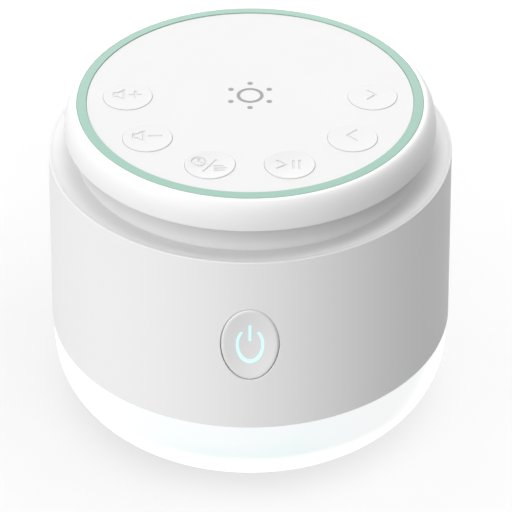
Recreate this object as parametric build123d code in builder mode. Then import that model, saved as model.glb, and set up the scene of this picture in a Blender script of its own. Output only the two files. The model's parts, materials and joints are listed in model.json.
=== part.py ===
"""White noise sound machine: a round tabletop body with a keypad cap and a glowing base.

Millimetres. Z is up, z = 0 is the surface that the foot stands on, and the front, with
the power button, faces -Y. Most pieces are turned about the one vertical axis.
"""

from build123d import *
import math
import os

os.makedirs("parts", exist_ok=True)

# ---------------------------------------------------------------- outer form
foot_stand = 1.0  # rubber foot below the dome
dome_height = 24.1
sleeve_height = 49.15
shoulder_dip = 1.2  # from the rim down to the foot of the neck
neck_height = 5.15
outlet_height = 2.0  # open ring between the neck and the cap
cap_height = 7.35
accent_proud = 0.25  # accent ring above the cap's crown
panel_recess = 0.2  # panel below the accent ring

sleeve_base_r = 51.0
sleeve_flare = 1.0  # base radius over rim radius
dome_reveal = 0.23  # step in from the sleeve to the dome
dome_draft = 2.2  # degrees
dome_arc_r = 17.5
shoulder_width = 6.8  # from the rim in to the foot of the neck
neck_flare = 0.6
cap_overhang = 3.3  # beyond the neck's top
cap_edge_land = 0.3
crown_width = 3.25  # from the cap's widest place in to the accent ring
accent_width = 2.72
panel_thickness = 2.0

# ---------------------------------------------------------------- walls and clearances
sleeve_wall = 2.0
dome_wall = 2.2
neck_wall = 1.8
cap_wall = 2.0
fit_gap = 0.05  # between turned pieces that nest and don't move
assembly_gap = 0.15  # between moulded shells that are pushed together
key_gap = 0.2  # round a key in the panel
slide_gap = 0.06  # round a switch plunger
screw_gap = 0.05  # round a screw's shank
edge_round = 0.35
fine_edge = 0.15

# ---------------------------------------------------------------- foot
foot_inset = 1.5  # in from the edge of the dome's flat
foot_width = 5.5
foot_groove = 0.8
foot_chamfer = 0.3

# ---------------------------------------------------------------- sleeve and shoulder
rim_lip = 0.9  # sleeve wall left beside the shoulder
rim_seat = 2.0
shoulder_thickness = 1.75
shoulder_cove = 0.2
shoulder_drop = 0.1  # shoulder's edge below the rim
spigot_length = 5.0
spigot_wall = 1.4
ledge_width = 1.4
ledge_height = 1.2
deck_drop = 6.55  # speaker deck below the foot of the neck
deck_thickness = 1.8
post_r = 3.2
post_inset = 0.6  # posts in from the deck's outer wall

# ---------------------------------------------------------------- sound outlet
grille_seat_drop = 2.0  # grille's seat below the neck's top
grille_width = 1.5
grille_rail = 0.8
grille_slots = 48
grille_slot_width = 3.4

# ---------------------------------------------------------------- chassis
chassis_thickness = 2.0
chassis_rise = 3.5  # chassis above the sleeve's lower edge
dome_spigot_wall = 1.6
snap_bead = 0.4
skirt_wall = 1.5
skirt_length = 2.4
skirt_gap = 0.25
hub_r = 5.0

# ---------------------------------------------------------------- keypad
key_names = ("volume_up", "volume_down", "timer", "play", "previous", "next")
key_r = 6.06
key_bridge = 2.8  # between the collars of neighbouring keys
key_proud = 0.15
key_dish_depth = 0.4
key_rim = 0.45
key_flange_width = 0.94
key_flange_thickness = 0.8
key_rest_gap = 0.1
key_travel = 0.5
key_stem_r = 1.9
key_stem_length = 0.8
key_tab_width = 1.4
key_tab_length = 0.8
collar_gap = 0.3
collar_wall = 0.8
collar_height = 1.7
collar_margin = 0.38  # between the collars and the cap's shelf
plunger_r = 1.5
plunger_length = 1.5
plunger_stop = 0.3  # left below a plunger that is fully down
switch_size = 6.0
switch_height = 2.5
board_thickness = 1.2
board_gap = 0.3
carrier_wall = 1.6
carrier_rim_thickness = 1.6
carrier_boss_r = 2.4
carrier_boss_height = 1.4
carrier_screw_inset = 10.1  # board screws in from the keys
column_r = 2.8
column_inset = 5.6  # columns in from the carrier's side
panel_ledge = 1.3
air_gap = 2.4  # sound path beside the carrier
deflector_r = 15.0
deflector_depth = 5.4
deflector_tip_r = 1.5
touch_centre_y = 1.56
touch_pad_r = 8.0
touch_pad_thickness = 0.4
touch_pillar_r = 3.0

# ---------------------------------------------------------------- power button
button_half_width = 7.03
button_half_height = 10.4
button_drop = 24.05  # button's centre below the rim
button_gap = 0.25
button_chamfer = 0.45
button_dish_depth = 0.9
button_dish_margin = 0.85
button_depth = 4.1
button_flange_width = 1.3
button_flange_thickness = 1.2
button_travel = 0.6
icon_half_width = 3.48
icon_half_height = 5.5
icon_stroke = 0.83
icon_foot_stroke = 1.4
icon_opening = 3.9  # at the top of the arc
icon_bar_length = 5.1
icon_bar_width = 0.9
icon_bar_rise = 3.25
lens_side_margin = 1.83  # button beside the lens
lens_end_margin = 2.8
lens_thickness = 1.8
lens_stem_r = 2.0
lens_stem_length = 3.1
power_switch_depth = 3.5
switch_board_half_width = 8.2
switch_screw_rise = 8.2
switch_screw_margin = 2.2
bracket_thickness = 2.6
bracket_gap = 0.2  # cheeks beside the switch board
bracket_head = 1.0
bracket_cheek = 4.4
bracket_cheek_wall = 1.6
power_lamp_gap = 2.2  # from the switch to a lamp's centre
power_lamp_size = 1.6

# ---------------------------------------------------------------- speaker
speaker_margin = 2.2  # between the speaker's flange and the columns
speaker_screw_inset = 1.9
speaker_cut_gap = 0.4
basket_depth = 11.0
basket_back_r = 16.2
basket_sheet = 1.0
window_reach = 3.0  # window cut beyond the basket's slope, each way
window_width = 17.0
window_height = 6.0
magnet_inset = 0.4
magnet_width = 7.2  # from the magnet's edge in to its bore
magnet_gap = 1.3  # magnet outside the coil
magnet_height = 8.0
yoke_thickness = 2.5
pole_gap = 0.7
coil_wall = 0.4
coil_length = 9.5
coil_gap = 0.6
cone_lip = 1.0
cone_rise = 0.1  # cone's lip above the deck
cone_depth = 6.6
cone_sheet = 0.5
surround_roll_r = 0.85
surround_sheet = 0.4
surround_flange = 1.0
surround_margin = 0.1  # to the screw heads, and over the basket's mouth
spider_gap = 0.2
spider_foot = 1.6
spider_wave = 0.7
dust_cap_lap = 1.3  # dust cap over the coil
dust_cap_rise = 2.6

# ---------------------------------------------------------------- main board and inlet
main_board_gap = 0.8  # to the housing's posts
main_board_thickness = 1.6
main_board_rise = 3.6
main_screw_inset = 6.0
main_boss_r = 2.6
chip_side = 10.0
chip_height = 1.4
chip_angle = 240  # degrees round the board, as with the other angles here
driver_side = 5.5
driver_height = 1.6
driver_angles = (45, 315)
chip_inset = 17.0  # in from the board's edge
capacitor_r = 4.0
capacitor_height = 8.0
capacitor_inset = 9.0
capacitor_gap = 0.3
capacitor_angle = 135  # midway between two screws
connector_width = 7.5
connector_depth = 5.0
connector_height = 5.5
connector_inset = 8.0
connector_angles = (-22, 27, 210)
board_tongue_width = 12.0
usb_width = 8.94
usb_height = 3.26
usb_length = 7.35
usb_sheet = 0.3
usb_overhang = 2.1
usb_back_wall = 1.2
usb_tongue_width = 6.69
usb_tongue_thickness = 0.7
usb_tongue_setback = 0.8
port_margin = 2.15  # pocket round the socket
port_pocket_depth = 1.2
port_gap = 0.25

# ---------------------------------------------------------------- light
light_board_gap = 1.3  # to the heads of the chassis screws
light_board_width = 19.0
lamp_inset = 5.0
lamp_count = 12
lamp_size = 3.0
lamp_height = 0.8
light_spacer = 1.0
light_spacer_r = 2.2
light_screw_inset = 5.0  # out from the board's inner edge
reflector_thickness = 0.8
reflector_gap = 0.6
lamp_window_r = 2.6

# ---------------------------------------------------------------- fasteners
screw_head_r = 2.7
screw_head_height = 1.8
screw_shank_r = 1.25
screw_bite = 6.0
small_head_r = 1.7
small_head_height = 1.2
small_shank_r = 0.8
small_bite = 1.8
hole_end = 0.4  # pilot hole beyond the screw's tip
head_chamfer = 0.45

# ---------------------------------------------------------------- levels, from the table up
foot_height = foot_stand + foot_groove
sleeve_bottom_z = foot_stand + dome_height
rim_z = sleeve_bottom_z + sleeve_height
neck_base_z = rim_z - shoulder_dip
neck_top_z = neck_base_z + neck_height
cap_edge_z = neck_top_z + outlet_height
cap_top_z = cap_edge_z + cap_height
accent_top_z = cap_top_z + accent_proud
panel_top_z = accent_top_z - panel_recess
panel_seat_z = panel_top_z - panel_thickness

deck_top_z = neck_base_z - deck_drop
deck_bottom_z = deck_top_z - deck_thickness
chassis_bottom_z = sleeve_bottom_z + chassis_rise
chassis_top_z = chassis_bottom_z + chassis_thickness
main_board_bottom_z = chassis_top_z + main_board_rise
main_board_top_z = main_board_bottom_z + main_board_thickness

key_top_z = panel_top_z + key_proud
key_flange_top_z = panel_seat_z - key_rest_gap
key_flange_bottom_z = key_flange_top_z - key_flange_thickness
key_stem_bottom_z = key_flange_bottom_z - key_stem_length
switch_top_z = key_stem_bottom_z - key_travel - plunger_stop
control_board_top_z = switch_top_z - switch_height
control_board_bottom_z = control_board_top_z - board_thickness
carrier_floor_top_z = control_board_bottom_z - carrier_boss_height
carrier_floor_bottom_z = carrier_floor_top_z - carrier_wall

light_board_top_z = chassis_bottom_z - light_spacer
light_board_bottom_z = light_board_top_z - board_thickness
lamp_bottom_z = light_board_bottom_z - lamp_height
reflector_top_z = lamp_bottom_z - reflector_gap
reflector_bottom_z = reflector_top_z - reflector_thickness

# ---------------------------------------------------------------- radii, from the sleeve inwards
sleeve_rim_r = sleeve_base_r - sleeve_flare
neck_base_r = sleeve_rim_r - shoulder_width
neck_top_r = neck_base_r - neck_flare
neck_inner_r = neck_top_r - neck_wall
well_r = neck_inner_r - neck_wall

cap_r = neck_top_r + cap_overhang
cap_inner_r = cap_r - cap_wall
accent_r = cap_r - crown_width
accent_inner_r = accent_r - accent_width
panel_r = accent_inner_r - fit_gap
shelf_r = panel_r - panel_ledge

key_flange_r = key_r + key_flange_width
collar_inner_r = key_flange_r + collar_gap
collar_outer_r = collar_inner_r + collar_wall
key_pitch_r = shelf_r - collar_margin - collar_outer_r
key_spacing = 2 * collar_outer_r + key_bridge
key_step = math.degrees(2 * math.asin(key_spacing / (2 * key_pitch_r)))

carrier_well_r = well_r - air_gap
carrier_inner_r = carrier_well_r - carrier_wall
control_board_r = carrier_inner_r - board_gap
carrier_screw_pitch_r = key_pitch_r - carrier_screw_inset
column_pitch_r = carrier_well_r - column_inset
post_pitch_r = neck_inner_r - post_inset - post_r

speaker_flange_r = column_pitch_r - column_r - speaker_margin
speaker_screw_pitch_r = speaker_flange_r - speaker_screw_inset
surround_r = speaker_screw_pitch_r - small_head_r - surround_margin
roll_end_r = surround_r - surround_flange
cone_r = roll_end_r - 2 * surround_roll_r
basket_mouth_r = roll_end_r - surround_margin + basket_sheet
speaker_cut_r = basket_mouth_r + speaker_cut_gap
magnet_r = basket_back_r - magnet_inset
magnet_bore_r = magnet_r - magnet_width
coil_r = magnet_bore_r - magnet_gap
coil_inner_r = coil_r - coil_wall
pole_r = coil_inner_r - pole_gap
spider_r = basket_back_r - basket_sheet - spider_gap
dust_cap_r = coil_r + dust_cap_lap

main_board_r = post_pitch_r - post_r - main_board_gap
main_board_pitch_r = main_board_r - main_screw_inset
light_board_outer_r = post_pitch_r - screw_head_r - light_board_gap
light_board_inner_r = light_board_outer_r - light_board_width
light_screw_pitch_r = light_board_inner_r + light_screw_inset
lamp_pitch_r = light_board_outer_r - lamp_inset

lens_half_width = button_half_width - lens_side_margin
lens_half_height = button_half_height - lens_end_margin
switch_board_half_height = switch_screw_rise + switch_screw_margin
bracket_half_width = switch_board_half_width + bracket_gap + bracket_cheek_wall
power_lamp_x = switch_size / 2 + power_lamp_gap
port_pocket_width = usb_width + 2 * port_margin
port_pocket_height = usb_height + 2 * port_margin

taper = sleeve_flare / sleeve_height
finished = []


def sleeve_outer(z):
    """Outer radius of the tapered sleeve at a height."""
    return sleeve_base_r - taper * (z - sleeve_bottom_z)


def sleeve_inner(z):
    """Inner radius of the tapered sleeve at a height."""
    return sleeve_outer(z) - sleeve_wall


def on_circle(radius, degrees):
    """XY place at a radius, with its angle counted anticlockwise from +X."""
    angle = math.radians(degrees)
    return (radius * math.cos(angle), radius * math.sin(angle))


def ring_places(radius, count, start, z):
    """Places spread evenly on a circle at one height."""
    return [(*on_circle(radius, start + n * 360 / count), z) for n in range(count)]


def turned_face(*corners):
    """Half section in the XZ plane, from rows of radius, height and, if round, rounding."""
    with BuildSketch(Plane.XZ) as section:
        with BuildLine():
            FilletPolyline(
                *[corner[:2] for corner in corners],
                radius=[corner[2] if len(corner) > 2 else 0 for corner in corners],
                close=True,
            )
        make_face()
    return section.sketch


def finish(builder, label):
    """Label a finished piece and keep it for export."""
    builder.part.label = label
    finished.append(builder.part)


def pan_screws(label, places, head_r, head_height, shank_r, length, way):
    """One node of pan-head screws, seated at their places; way is +1 for points up."""
    with BuildPart() as screws:
        with BuildSketch(Plane.XY.offset(places[0][2])):
            with Locations(*[place[:2] for place in places]):
                Circle(head_r)
        extrude(amount=-way * head_height)
        tiers = screws.edges().filter_by(GeomType.CIRCLE).group_by(Axis.Z)
        chamfer(tiers[0] if way > 0 else tiers[-1], length=head_chamfer)
        with BuildSketch(Plane.XY.offset(places[0][2])):
            with Locations(*[place[:2] for place in places]):
                Circle(shank_r)
        extrude(amount=way * length)
    finish(screws, label)


# ---------------------------------------------------------------- foot and dome
draft = math.radians(dome_draft)
dome_top_r = sleeve_base_r - dome_reveal
arc_end_z = foot_stand + dome_arc_r * (1 - math.sin(draft))
arc_end_r = dome_top_r - (sleeve_bottom_z - arc_end_z) * math.tan(draft)
dome_flat_r = arc_end_r - dome_arc_r * math.cos(draft)
foot_outer_r = dome_flat_r - foot_inset
foot_inner_r = foot_outer_r - foot_width

with BuildPart() as foot_ring:
    with BuildSketch():
        Circle(foot_outer_r - fit_gap)
        Circle(foot_inner_r + fit_gap, mode=Mode.SUBTRACT)
    extrude(amount=foot_height)
    chamfer(foot_ring.edges().group_by(Axis.Z)[0], length=foot_chamfer)
finish(foot_ring, "foot_ring")

dome_floor_z = foot_stand + dome_wall
spigot_outer_r = sleeve_inner(sleeve_bottom_z) - assembly_gap
spigot_inner_r = spigot_outer_r - dome_spigot_wall
snap_z = chassis_bottom_z - skirt_length / 2
snap_groove = snap_bead + assembly_gap

with BuildPart() as diffuser_dome:
    with BuildSketch(Plane.XZ):
        with BuildLine():
            underside = Line((0, foot_stand), (dome_flat_r, foot_stand))
            bowl = JernArc(underside @ 1, (1, 0), dome_arc_r, 90 - dome_draft)
            spigot = Polyline(
                bowl @ 1,
                (dome_top_r, sleeve_bottom_z),
                (spigot_outer_r, sleeve_bottom_z),
                (spigot_outer_r, chassis_bottom_z - assembly_gap),
                (spigot_inner_r, chassis_bottom_z - assembly_gap),
                (spigot_inner_r, snap_z + snap_groove),
                (spigot_inner_r + snap_bead, snap_z),
                (spigot_inner_r, snap_z - snap_groove),
                (spigot_inner_r, sleeve_bottom_z - dome_wall),
            )
            floor = Line((0, dome_floor_z), (dome_flat_r, dome_floor_z))
            hollow = JernArc(floor @ 1, (1, 0), dome_arc_r - dome_wall, 90 - dome_draft)
            Line(hollow @ 1, spigot @ 1)
            Line(underside @ 0, floor @ 0)
        make_face()
    revolve(axis=Axis.Z)
    with BuildSketch(Plane.XY.offset(foot_stand)):
        Circle(foot_outer_r)
        Circle(foot_inner_r, mode=Mode.SUBTRACT)
    extrude(amount=foot_groove, mode=Mode.SUBTRACT)
finish(diffuser_dome, "diffuser_dome")

# ---------------------------------------------------------------- where the button lies
button_z = rim_z - button_drop
button_front_y = -sleeve_outer(button_z)
button_back_y = button_front_y + button_depth
power_plunger_y = button_back_y + lens_stem_length
power_switch_y = power_plunger_y + button_travel + plunger_stop
switch_board_y = power_switch_y + power_switch_depth
bracket_y = switch_board_y + board_thickness
switch_screws_z = (button_z - switch_screw_rise, button_z + switch_screw_rise)

# ---------------------------------------------------------------- chassis
skirt_outer_r = spigot_inner_r - skirt_gap
skirt_inner_r = skirt_outer_r - skirt_wall
chassis_r = sleeve_inner(chassis_top_z) - assembly_gap
post_places = ring_places(post_pitch_r, 4, 45, chassis_bottom_z)
main_screw_places = ring_places(main_board_pitch_r, 4, 0, main_board_top_z)
light_screw_places = ring_places(light_screw_pitch_r, 3, 90, light_board_bottom_z)

with BuildPart() as inner_chassis:
    revolve(
        turned_face(
            (0, chassis_top_z),
            (chassis_r, chassis_top_z),
            (chassis_r, chassis_bottom_z),
            (skirt_outer_r, chassis_bottom_z),
            (skirt_outer_r, snap_z + snap_bead),
            (skirt_outer_r + snap_bead, snap_z),
            (skirt_outer_r, snap_z - snap_bead),
            (skirt_outer_r, chassis_bottom_z - skirt_length),
            (skirt_inner_r, chassis_bottom_z - skirt_length),
            (skirt_inner_r, chassis_bottom_z),
            (hub_r, chassis_bottom_z),
            (hub_r, reflector_top_z),
            (0, reflector_top_z),
        )
    )
    with BuildSketch(Plane.XY.offset(chassis_top_z)):
        with Locations(*[place[:2] for place in main_screw_places]):
            Circle(main_boss_r)
    extrude(amount=main_board_rise)
    with BuildSketch(Plane.XY.offset(chassis_bottom_z)):
        with Locations(*[place[:2] for place in light_screw_places]):
            Circle(light_spacer_r)
    extrude(amount=-light_spacer)
    with BuildSketch(Plane.XY.offset(chassis_top_z)):
        with Locations((0, bracket_y + bracket_thickness / 2)):
            Rectangle(2 * bracket_half_width, bracket_thickness)
        with GridLocations(2 * bracket_half_width - bracket_cheek_wall, 1, 2, 1):
            with Locations((0, bracket_y - bracket_cheek / 2)):
                Rectangle(bracket_cheek_wall, bracket_cheek)
    extrude(amount=button_z + switch_board_half_height + bracket_head - chassis_top_z)
    with Locations(*post_places):
        Hole(screw_shank_r + screw_gap)
    with Locations(*[(x, y, chassis_top_z) for x, y, _ in light_screw_places]):
        Hole(small_shank_r + screw_gap)
    with Locations(*[(x, y, main_board_bottom_z) for x, y, _ in main_screw_places]):
        Hole(small_shank_r + screw_gap, depth=small_bite + hole_end)
    with Locations((0, 0, reflector_top_z + small_bite + hole_end)):
        Hole(small_shank_r + screw_gap, depth=small_bite + hole_end)
    with BuildSketch(Plane.XZ.offset(-bracket_y)):
        with Locations(*[(0, z) for z in switch_screws_z]):
            Circle(small_shank_r + screw_gap)
    extrude(amount=-small_bite - hole_end, mode=Mode.SUBTRACT)
finish(inner_chassis, "inner_chassis")

# ---------------------------------------------------------------- sleeve
port_z = main_board_top_z + usb_height / 2
port_floor_y = sleeve_outer(port_z) - port_pocket_depth
seat_z = rim_z - rim_seat
ledge_top_z = chassis_top_z + ledge_height
past_wall = 2 * sleeve_wall

with BuildPart() as body_sleeve:
    revolve(
        turned_face(
            (sleeve_base_r, sleeve_bottom_z, edge_round),
            (sleeve_rim_r, rim_z, edge_round),
            (sleeve_rim_r - rim_lip, rim_z),
            (sleeve_rim_r - rim_lip, seat_z),
            (sleeve_inner(seat_z), seat_z),
            (sleeve_inner(ledge_top_z), ledge_top_z),
            (sleeve_inner(ledge_top_z) - ledge_width, ledge_top_z),
            (sleeve_inner(ledge_top_z) - ledge_width, chassis_top_z),
            (sleeve_inner(chassis_top_z), chassis_top_z),
            (sleeve_inner(sleeve_bottom_z), sleeve_bottom_z),
        )
    )
    with BuildSketch(Plane.XZ):
        with Locations((0, button_z)):
            Ellipse(button_half_width + button_gap, button_half_height + button_gap)
    extrude(amount=sleeve_base_r + past_wall, mode=Mode.SUBTRACT)
    with BuildSketch(Plane.XZ):
        with Locations((0, port_z)):
            SlotOverall(usb_width + 2 * port_gap, usb_height + 2 * port_gap)
    extrude(amount=-sleeve_base_r - past_wall, mode=Mode.SUBTRACT)
    with BuildSketch(Plane.XZ.offset(-port_floor_y)):
        with Locations((0, port_z)):
            SlotOverall(port_pocket_width, port_pocket_height)
    extrude(amount=-port_pocket_depth - past_wall, mode=Mode.SUBTRACT)
finish(body_sleeve, "body_sleeve")

# ---------------------------------------------------------------- shoulder and neck
grille_seat_z = neck_top_z - grille_seat_drop
shoulder_edge_r = sleeve_rim_r - rim_lip - fit_gap
shoulder_edge_z = rim_z - shoulder_drop
shoulder_under_z = neck_base_z - shoulder_thickness
inner_spigot_r = sleeve_inner(seat_z) - assembly_gap
cove_point = (
    (neck_base_r + shoulder_edge_r) / 2,
    (neck_base_z + shoulder_edge_z) / 2 - shoulder_cove,
)
column_places = ring_places(column_pitch_r, 4, 0, deck_bottom_z)
speaker_screw_places = ring_places(speaker_screw_pitch_r, 4, 45, deck_top_z)

with BuildPart() as shoulder_housing:
    with BuildSketch(Plane.XZ):
        with BuildLine():
            neck = Polyline(
                (neck_inner_r, grille_seat_z),
                (neck_inner_r, neck_top_z),
                (neck_top_r, neck_top_z),
                (neck_base_r, neck_base_z),
            )
            cove = ThreePointArc(neck @ 1, cove_point, (shoulder_edge_r, shoulder_edge_z))
            Polyline(
                cove @ 1,
                (shoulder_edge_r, seat_z),
                (inner_spigot_r, seat_z),
                (inner_spigot_r, seat_z - spigot_length),
                (inner_spigot_r - spigot_wall, seat_z - spigot_length),
                (inner_spigot_r - spigot_wall, shoulder_under_z),
                (neck_inner_r, shoulder_under_z),
                (neck_inner_r, deck_bottom_z),
                (speaker_cut_r, deck_bottom_z),
                (speaker_cut_r, deck_top_z),
                (well_r, deck_top_z),
                (well_r, grille_seat_z),
                neck @ 0,
            )
        make_face()
    revolve(axis=Axis.Z)
    with BuildSketch(Plane.XY.offset(chassis_top_z)):
        with Locations(*[place[:2] for place in post_places]):
            Circle(post_r)
    extrude(amount=deck_bottom_z - chassis_top_z)
    pilot_top_z = chassis_top_z + screw_bite + hole_end
    with Locations(*[(x, y, pilot_top_z) for x, y, _ in post_places]):
        Hole(screw_shank_r + screw_gap, depth=screw_bite + hole_end)
    with Locations(*[(x, y, deck_top_z) for x, y, _ in column_places]):
        Hole(screw_shank_r + screw_gap, depth=deck_thickness)
    with Locations(*speaker_screw_places):
        Hole(small_shank_r + screw_gap, depth=deck_thickness)
finish(shoulder_housing, "shoulder_housing")

# ---------------------------------------------------------------- sound outlet
grille_outer_r = neck_inner_r - fit_gap
grille_middle_r = grille_outer_r - grille_width / 2

with BuildPart() as sound_grille:
    with BuildSketch(Plane.XY.offset(grille_seat_z)):
        Circle(grille_outer_r)
        Circle(grille_outer_r - grille_width, mode=Mode.SUBTRACT)
    extrude(amount=cap_edge_z - grille_seat_z)
    with BuildSketch(Plane.XY.offset(grille_seat_z + grille_rail)):
        with PolarLocations(grille_middle_r, grille_slots):
            Rectangle(2 * grille_width, grille_slot_width)
    extrude(amount=cap_edge_z - grille_seat_z - 2 * grille_rail, mode=Mode.SUBTRACT)
finish(sound_grille, "sound_grille")

# ---------------------------------------------------------------- cap and panel
crown_base_z = cap_edge_z + cap_edge_land

with BuildPart() as cap_shell:
    with BuildSketch(Plane.XZ):
        with BuildLine():
            crown = EllipticalCenterArc(
                (accent_r, crown_base_z),
                cap_r - accent_r,
                cap_top_z - crown_base_z,
                arc_size=90,
            )
            Polyline(
                crown @ 1,
                (accent_r, panel_seat_z),
                (shelf_r, panel_seat_z),
                (shelf_r, panel_seat_z - cap_wall),
                (cap_inner_r, panel_seat_z - cap_wall),
                (cap_inner_r, cap_edge_z),
                (cap_r - cap_edge_land, cap_edge_z),
                crown @ 0,
            )
        make_face()
    revolve(axis=Axis.Z)
finish(cap_shell, "cap_shell")

with BuildPart() as accent_ring:
    revolve(
        turned_face(
            (accent_inner_r, panel_seat_z),
            (accent_r - fit_gap, panel_seat_z),
            (accent_r - fit_gap, accent_top_z, fine_edge),
            (accent_inner_r, accent_top_z, fine_edge),
        )
    )
finish(accent_ring, "accent_ring")

key_angles = [
    -90 + (n - (len(key_names) - 1) / 2) * key_step for n in range(len(key_names))
]
key_centres = [on_circle(key_pitch_r, angle) for angle in key_angles]
tab_middle_r = key_pitch_r + key_flange_r + (key_tab_length - key_flange_width) / 2

with BuildPart() as top_panel:
    with BuildSketch(Plane.XY.offset(panel_seat_z)):
        Circle(panel_r)
    extrude(amount=panel_thickness)
    chamfer(top_panel.edges().group_by(Axis.Z)[-1], length=fine_edge)
    with BuildSketch(Plane.XY.offset(panel_seat_z)):
        with Locations(*key_centres):
            Circle(collar_outer_r)
    extrude(amount=-collar_height)
    with BuildSketch(Plane.XY.offset(panel_seat_z)):
        with Locations(*key_centres):
            Circle(collar_inner_r)
        with Locations(
            *[Location(on_circle(tab_middle_r, a), (0, 0, a)) for a in key_angles]
        ):
            Rectangle(2 * key_flange_width + key_tab_length, key_tab_width + 2 * key_gap)
    extrude(amount=-collar_height, mode=Mode.SUBTRACT)
    with Locations(*[(x, y, panel_top_z) for x, y in key_centres]):
        Hole(key_r + key_gap, depth=panel_thickness)
finish(top_panel, "top_panel")

# ---------------------------------------------------------------- keys
key_dish_r = key_r - key_rim
key_dish_radius = (key_dish_r**2 + key_dish_depth**2) / (2 * key_dish_depth)
key_dish_sweep = math.degrees(math.asin(key_dish_r / key_dish_radius))

for name, angle, (key_x, key_y) in zip(key_names, key_angles, key_centres):
    key_axis = Axis((key_x, key_y, 0), (0, 0, 1))
    with BuildPart() as key:
        with BuildSketch(Plane((key_x, key_y, 0), x_dir=(1, 0, 0), z_dir=(0, -1, 0))):
            with BuildLine():
                dish = JernArc(
                    (0, key_top_z - key_dish_depth),
                    (1, 0),
                    key_dish_radius,
                    key_dish_sweep,
                )
                Polyline(
                    dish @ 1,
                    (key_r - fine_edge, key_top_z),
                    (key_r, key_top_z - fine_edge),
                    (key_r, key_flange_top_z),
                    (key_flange_r, key_flange_top_z),
                    (key_flange_r, key_flange_bottom_z),
                    (key_stem_r, key_flange_bottom_z),
                    (key_stem_r, key_stem_bottom_z),
                    (0, key_stem_bottom_z),
                    dish @ 0,
                )
            make_face()
        revolve(axis=key_axis)
        with BuildSketch(Plane.XY.offset(key_flange_bottom_z)):
            with Locations(Location(on_circle(tab_middle_r, angle), (0, 0, angle))):
                Rectangle(key_flange_width + key_tab_length, key_tab_width)
        extrude(amount=key_flange_thickness)
    finish(key, f"{name}_key")

    with BuildPart() as key_plunger:
        with BuildSketch(Plane.XY.offset(key_stem_bottom_z)):
            with Locations((key_x, key_y)):
                Circle(plunger_r)
        extrude(amount=-plunger_length)
    finish(key_plunger, f"{name}_plunger")

# ---------------------------------------------------------------- control board
control_screw_places = ring_places(carrier_screw_pitch_r, 4, 45, control_board_top_z)

with BuildPart() as board_carrier:
    revolve(
        turned_face(
            (0, carrier_floor_bottom_z - deflector_depth),
            (deflector_tip_r, carrier_floor_bottom_z - deflector_depth),
            (deflector_r, carrier_floor_bottom_z),
            (carrier_well_r, carrier_floor_bottom_z, carrier_wall / 2),
            (carrier_well_r, cap_edge_z),
            (cap_inner_r - fit_gap, cap_edge_z),
            (cap_inner_r - fit_gap, cap_edge_z + carrier_rim_thickness),
            (carrier_inner_r, cap_edge_z + carrier_rim_thickness),
            (carrier_inner_r, carrier_floor_top_z),
            (0, carrier_floor_top_z),
        )
    )
    with BuildSketch(Plane.XY.offset(deck_top_z)):
        with Locations(*[place[:2] for place in column_places]):
            Circle(column_r)
    extrude(amount=carrier_floor_bottom_z - deck_top_z)
    with BuildSketch(Plane.XY.offset(carrier_floor_top_z)):
        with Locations(*[place[:2] for place in control_screw_places]):
            Circle(carrier_boss_r)
    extrude(amount=carrier_boss_height)
    column_pilot_z = deck_top_z + screw_bite + hole_end
    with Locations(*[(x, y, column_pilot_z) for x, y, _ in column_places]):
        Hole(screw_shank_r + screw_gap, depth=screw_bite + hole_end)
    with Locations(*[(x, y, control_board_bottom_z) for x, y, _ in control_screw_places]):
        Hole(small_shank_r + screw_gap, depth=small_bite + hole_end)
finish(board_carrier, "board_carrier")

with BuildPart() as control_board:
    with BuildSketch(Plane.XY.offset(control_board_bottom_z)):
        Circle(control_board_r)
        with Locations(*[place[:2] for place in control_screw_places]):
            Circle(small_shank_r + screw_gap, mode=Mode.SUBTRACT)
    extrude(amount=board_thickness)
finish(control_board, "control_board")

with BuildPart() as key_switches:
    with BuildSketch(Plane.XY.offset(control_board_top_z)):
        with Locations(
            *[Location(on_circle(key_pitch_r, a), (0, 0, a)) for a in key_angles]
        ):
            Rectangle(switch_size, switch_size)
    extrude(amount=switch_height)
    with Locations(*[(x, y, switch_top_z) for x, y in key_centres]):
        Hole(plunger_r + slide_gap, depth=plunger_length)
finish(key_switches, "key_switches")

with BuildPart() as touch_pad:
    with BuildSketch(Plane.XY.offset(panel_seat_z - touch_pad_thickness)):
        with Locations((0, touch_centre_y)):
            Circle(touch_pad_r)
    extrude(amount=touch_pad_thickness)
finish(touch_pad, "touch_pad")

with BuildPart() as touch_pillar:
    with BuildSketch(Plane.XY.offset(control_board_top_z)):
        with Locations((0, touch_centre_y)):
            Circle(touch_pillar_r)
    extrude(amount=panel_seat_z - touch_pad_thickness - control_board_top_z)
finish(touch_pillar, "touch_pillar")

# ---------------------------------------------------------------- power button
lens_front_y = button_back_y - lens_thickness
wall_up = Vector(0, taper, 1).normalized()
button_plane = Plane((0, button_front_y, button_z), x_dir=wall_up, z_dir=(1, 0, 0))
button_reach = button_half_height + 2 * button_flange_width
dish_half_width = button_half_width - button_dish_margin
dish_half_height = button_half_height - button_dish_margin
wall_sag = -button_front_y - math.sqrt(button_front_y**2 - dish_half_width**2)
side_depth = button_dish_depth - wall_sag
dish_across_r = (dish_half_width**2 + side_depth**2) / (2 * side_depth)
dish_along_r = (dish_half_height**2 + button_dish_depth**2) / (2 * button_dish_depth)
dish_end_sag = dish_along_r - math.sqrt(dish_along_r**2 - button_reach**2)
dish_axis_out = dish_across_r - button_dish_depth
dish_axis = Axis((button_plane.from_local_coords((0, dish_axis_out))), wall_up)


def dish_section():
    """Half section of the round-bellied form that hollows the button's face."""
    with BuildSketch(button_plane) as section:
        with BuildLine():
            belly = ThreePointArc(
                (-button_reach, dish_end_sag - button_dish_depth),
                (0, -button_dish_depth),
                (button_reach, dish_end_sag - button_dish_depth),
            )
            Polyline(
                belly @ 1,
                (button_reach, dish_axis_out),
                (-button_reach, dish_axis_out),
                belly @ 0,
            )
        make_face()
    return section.sketch


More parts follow.
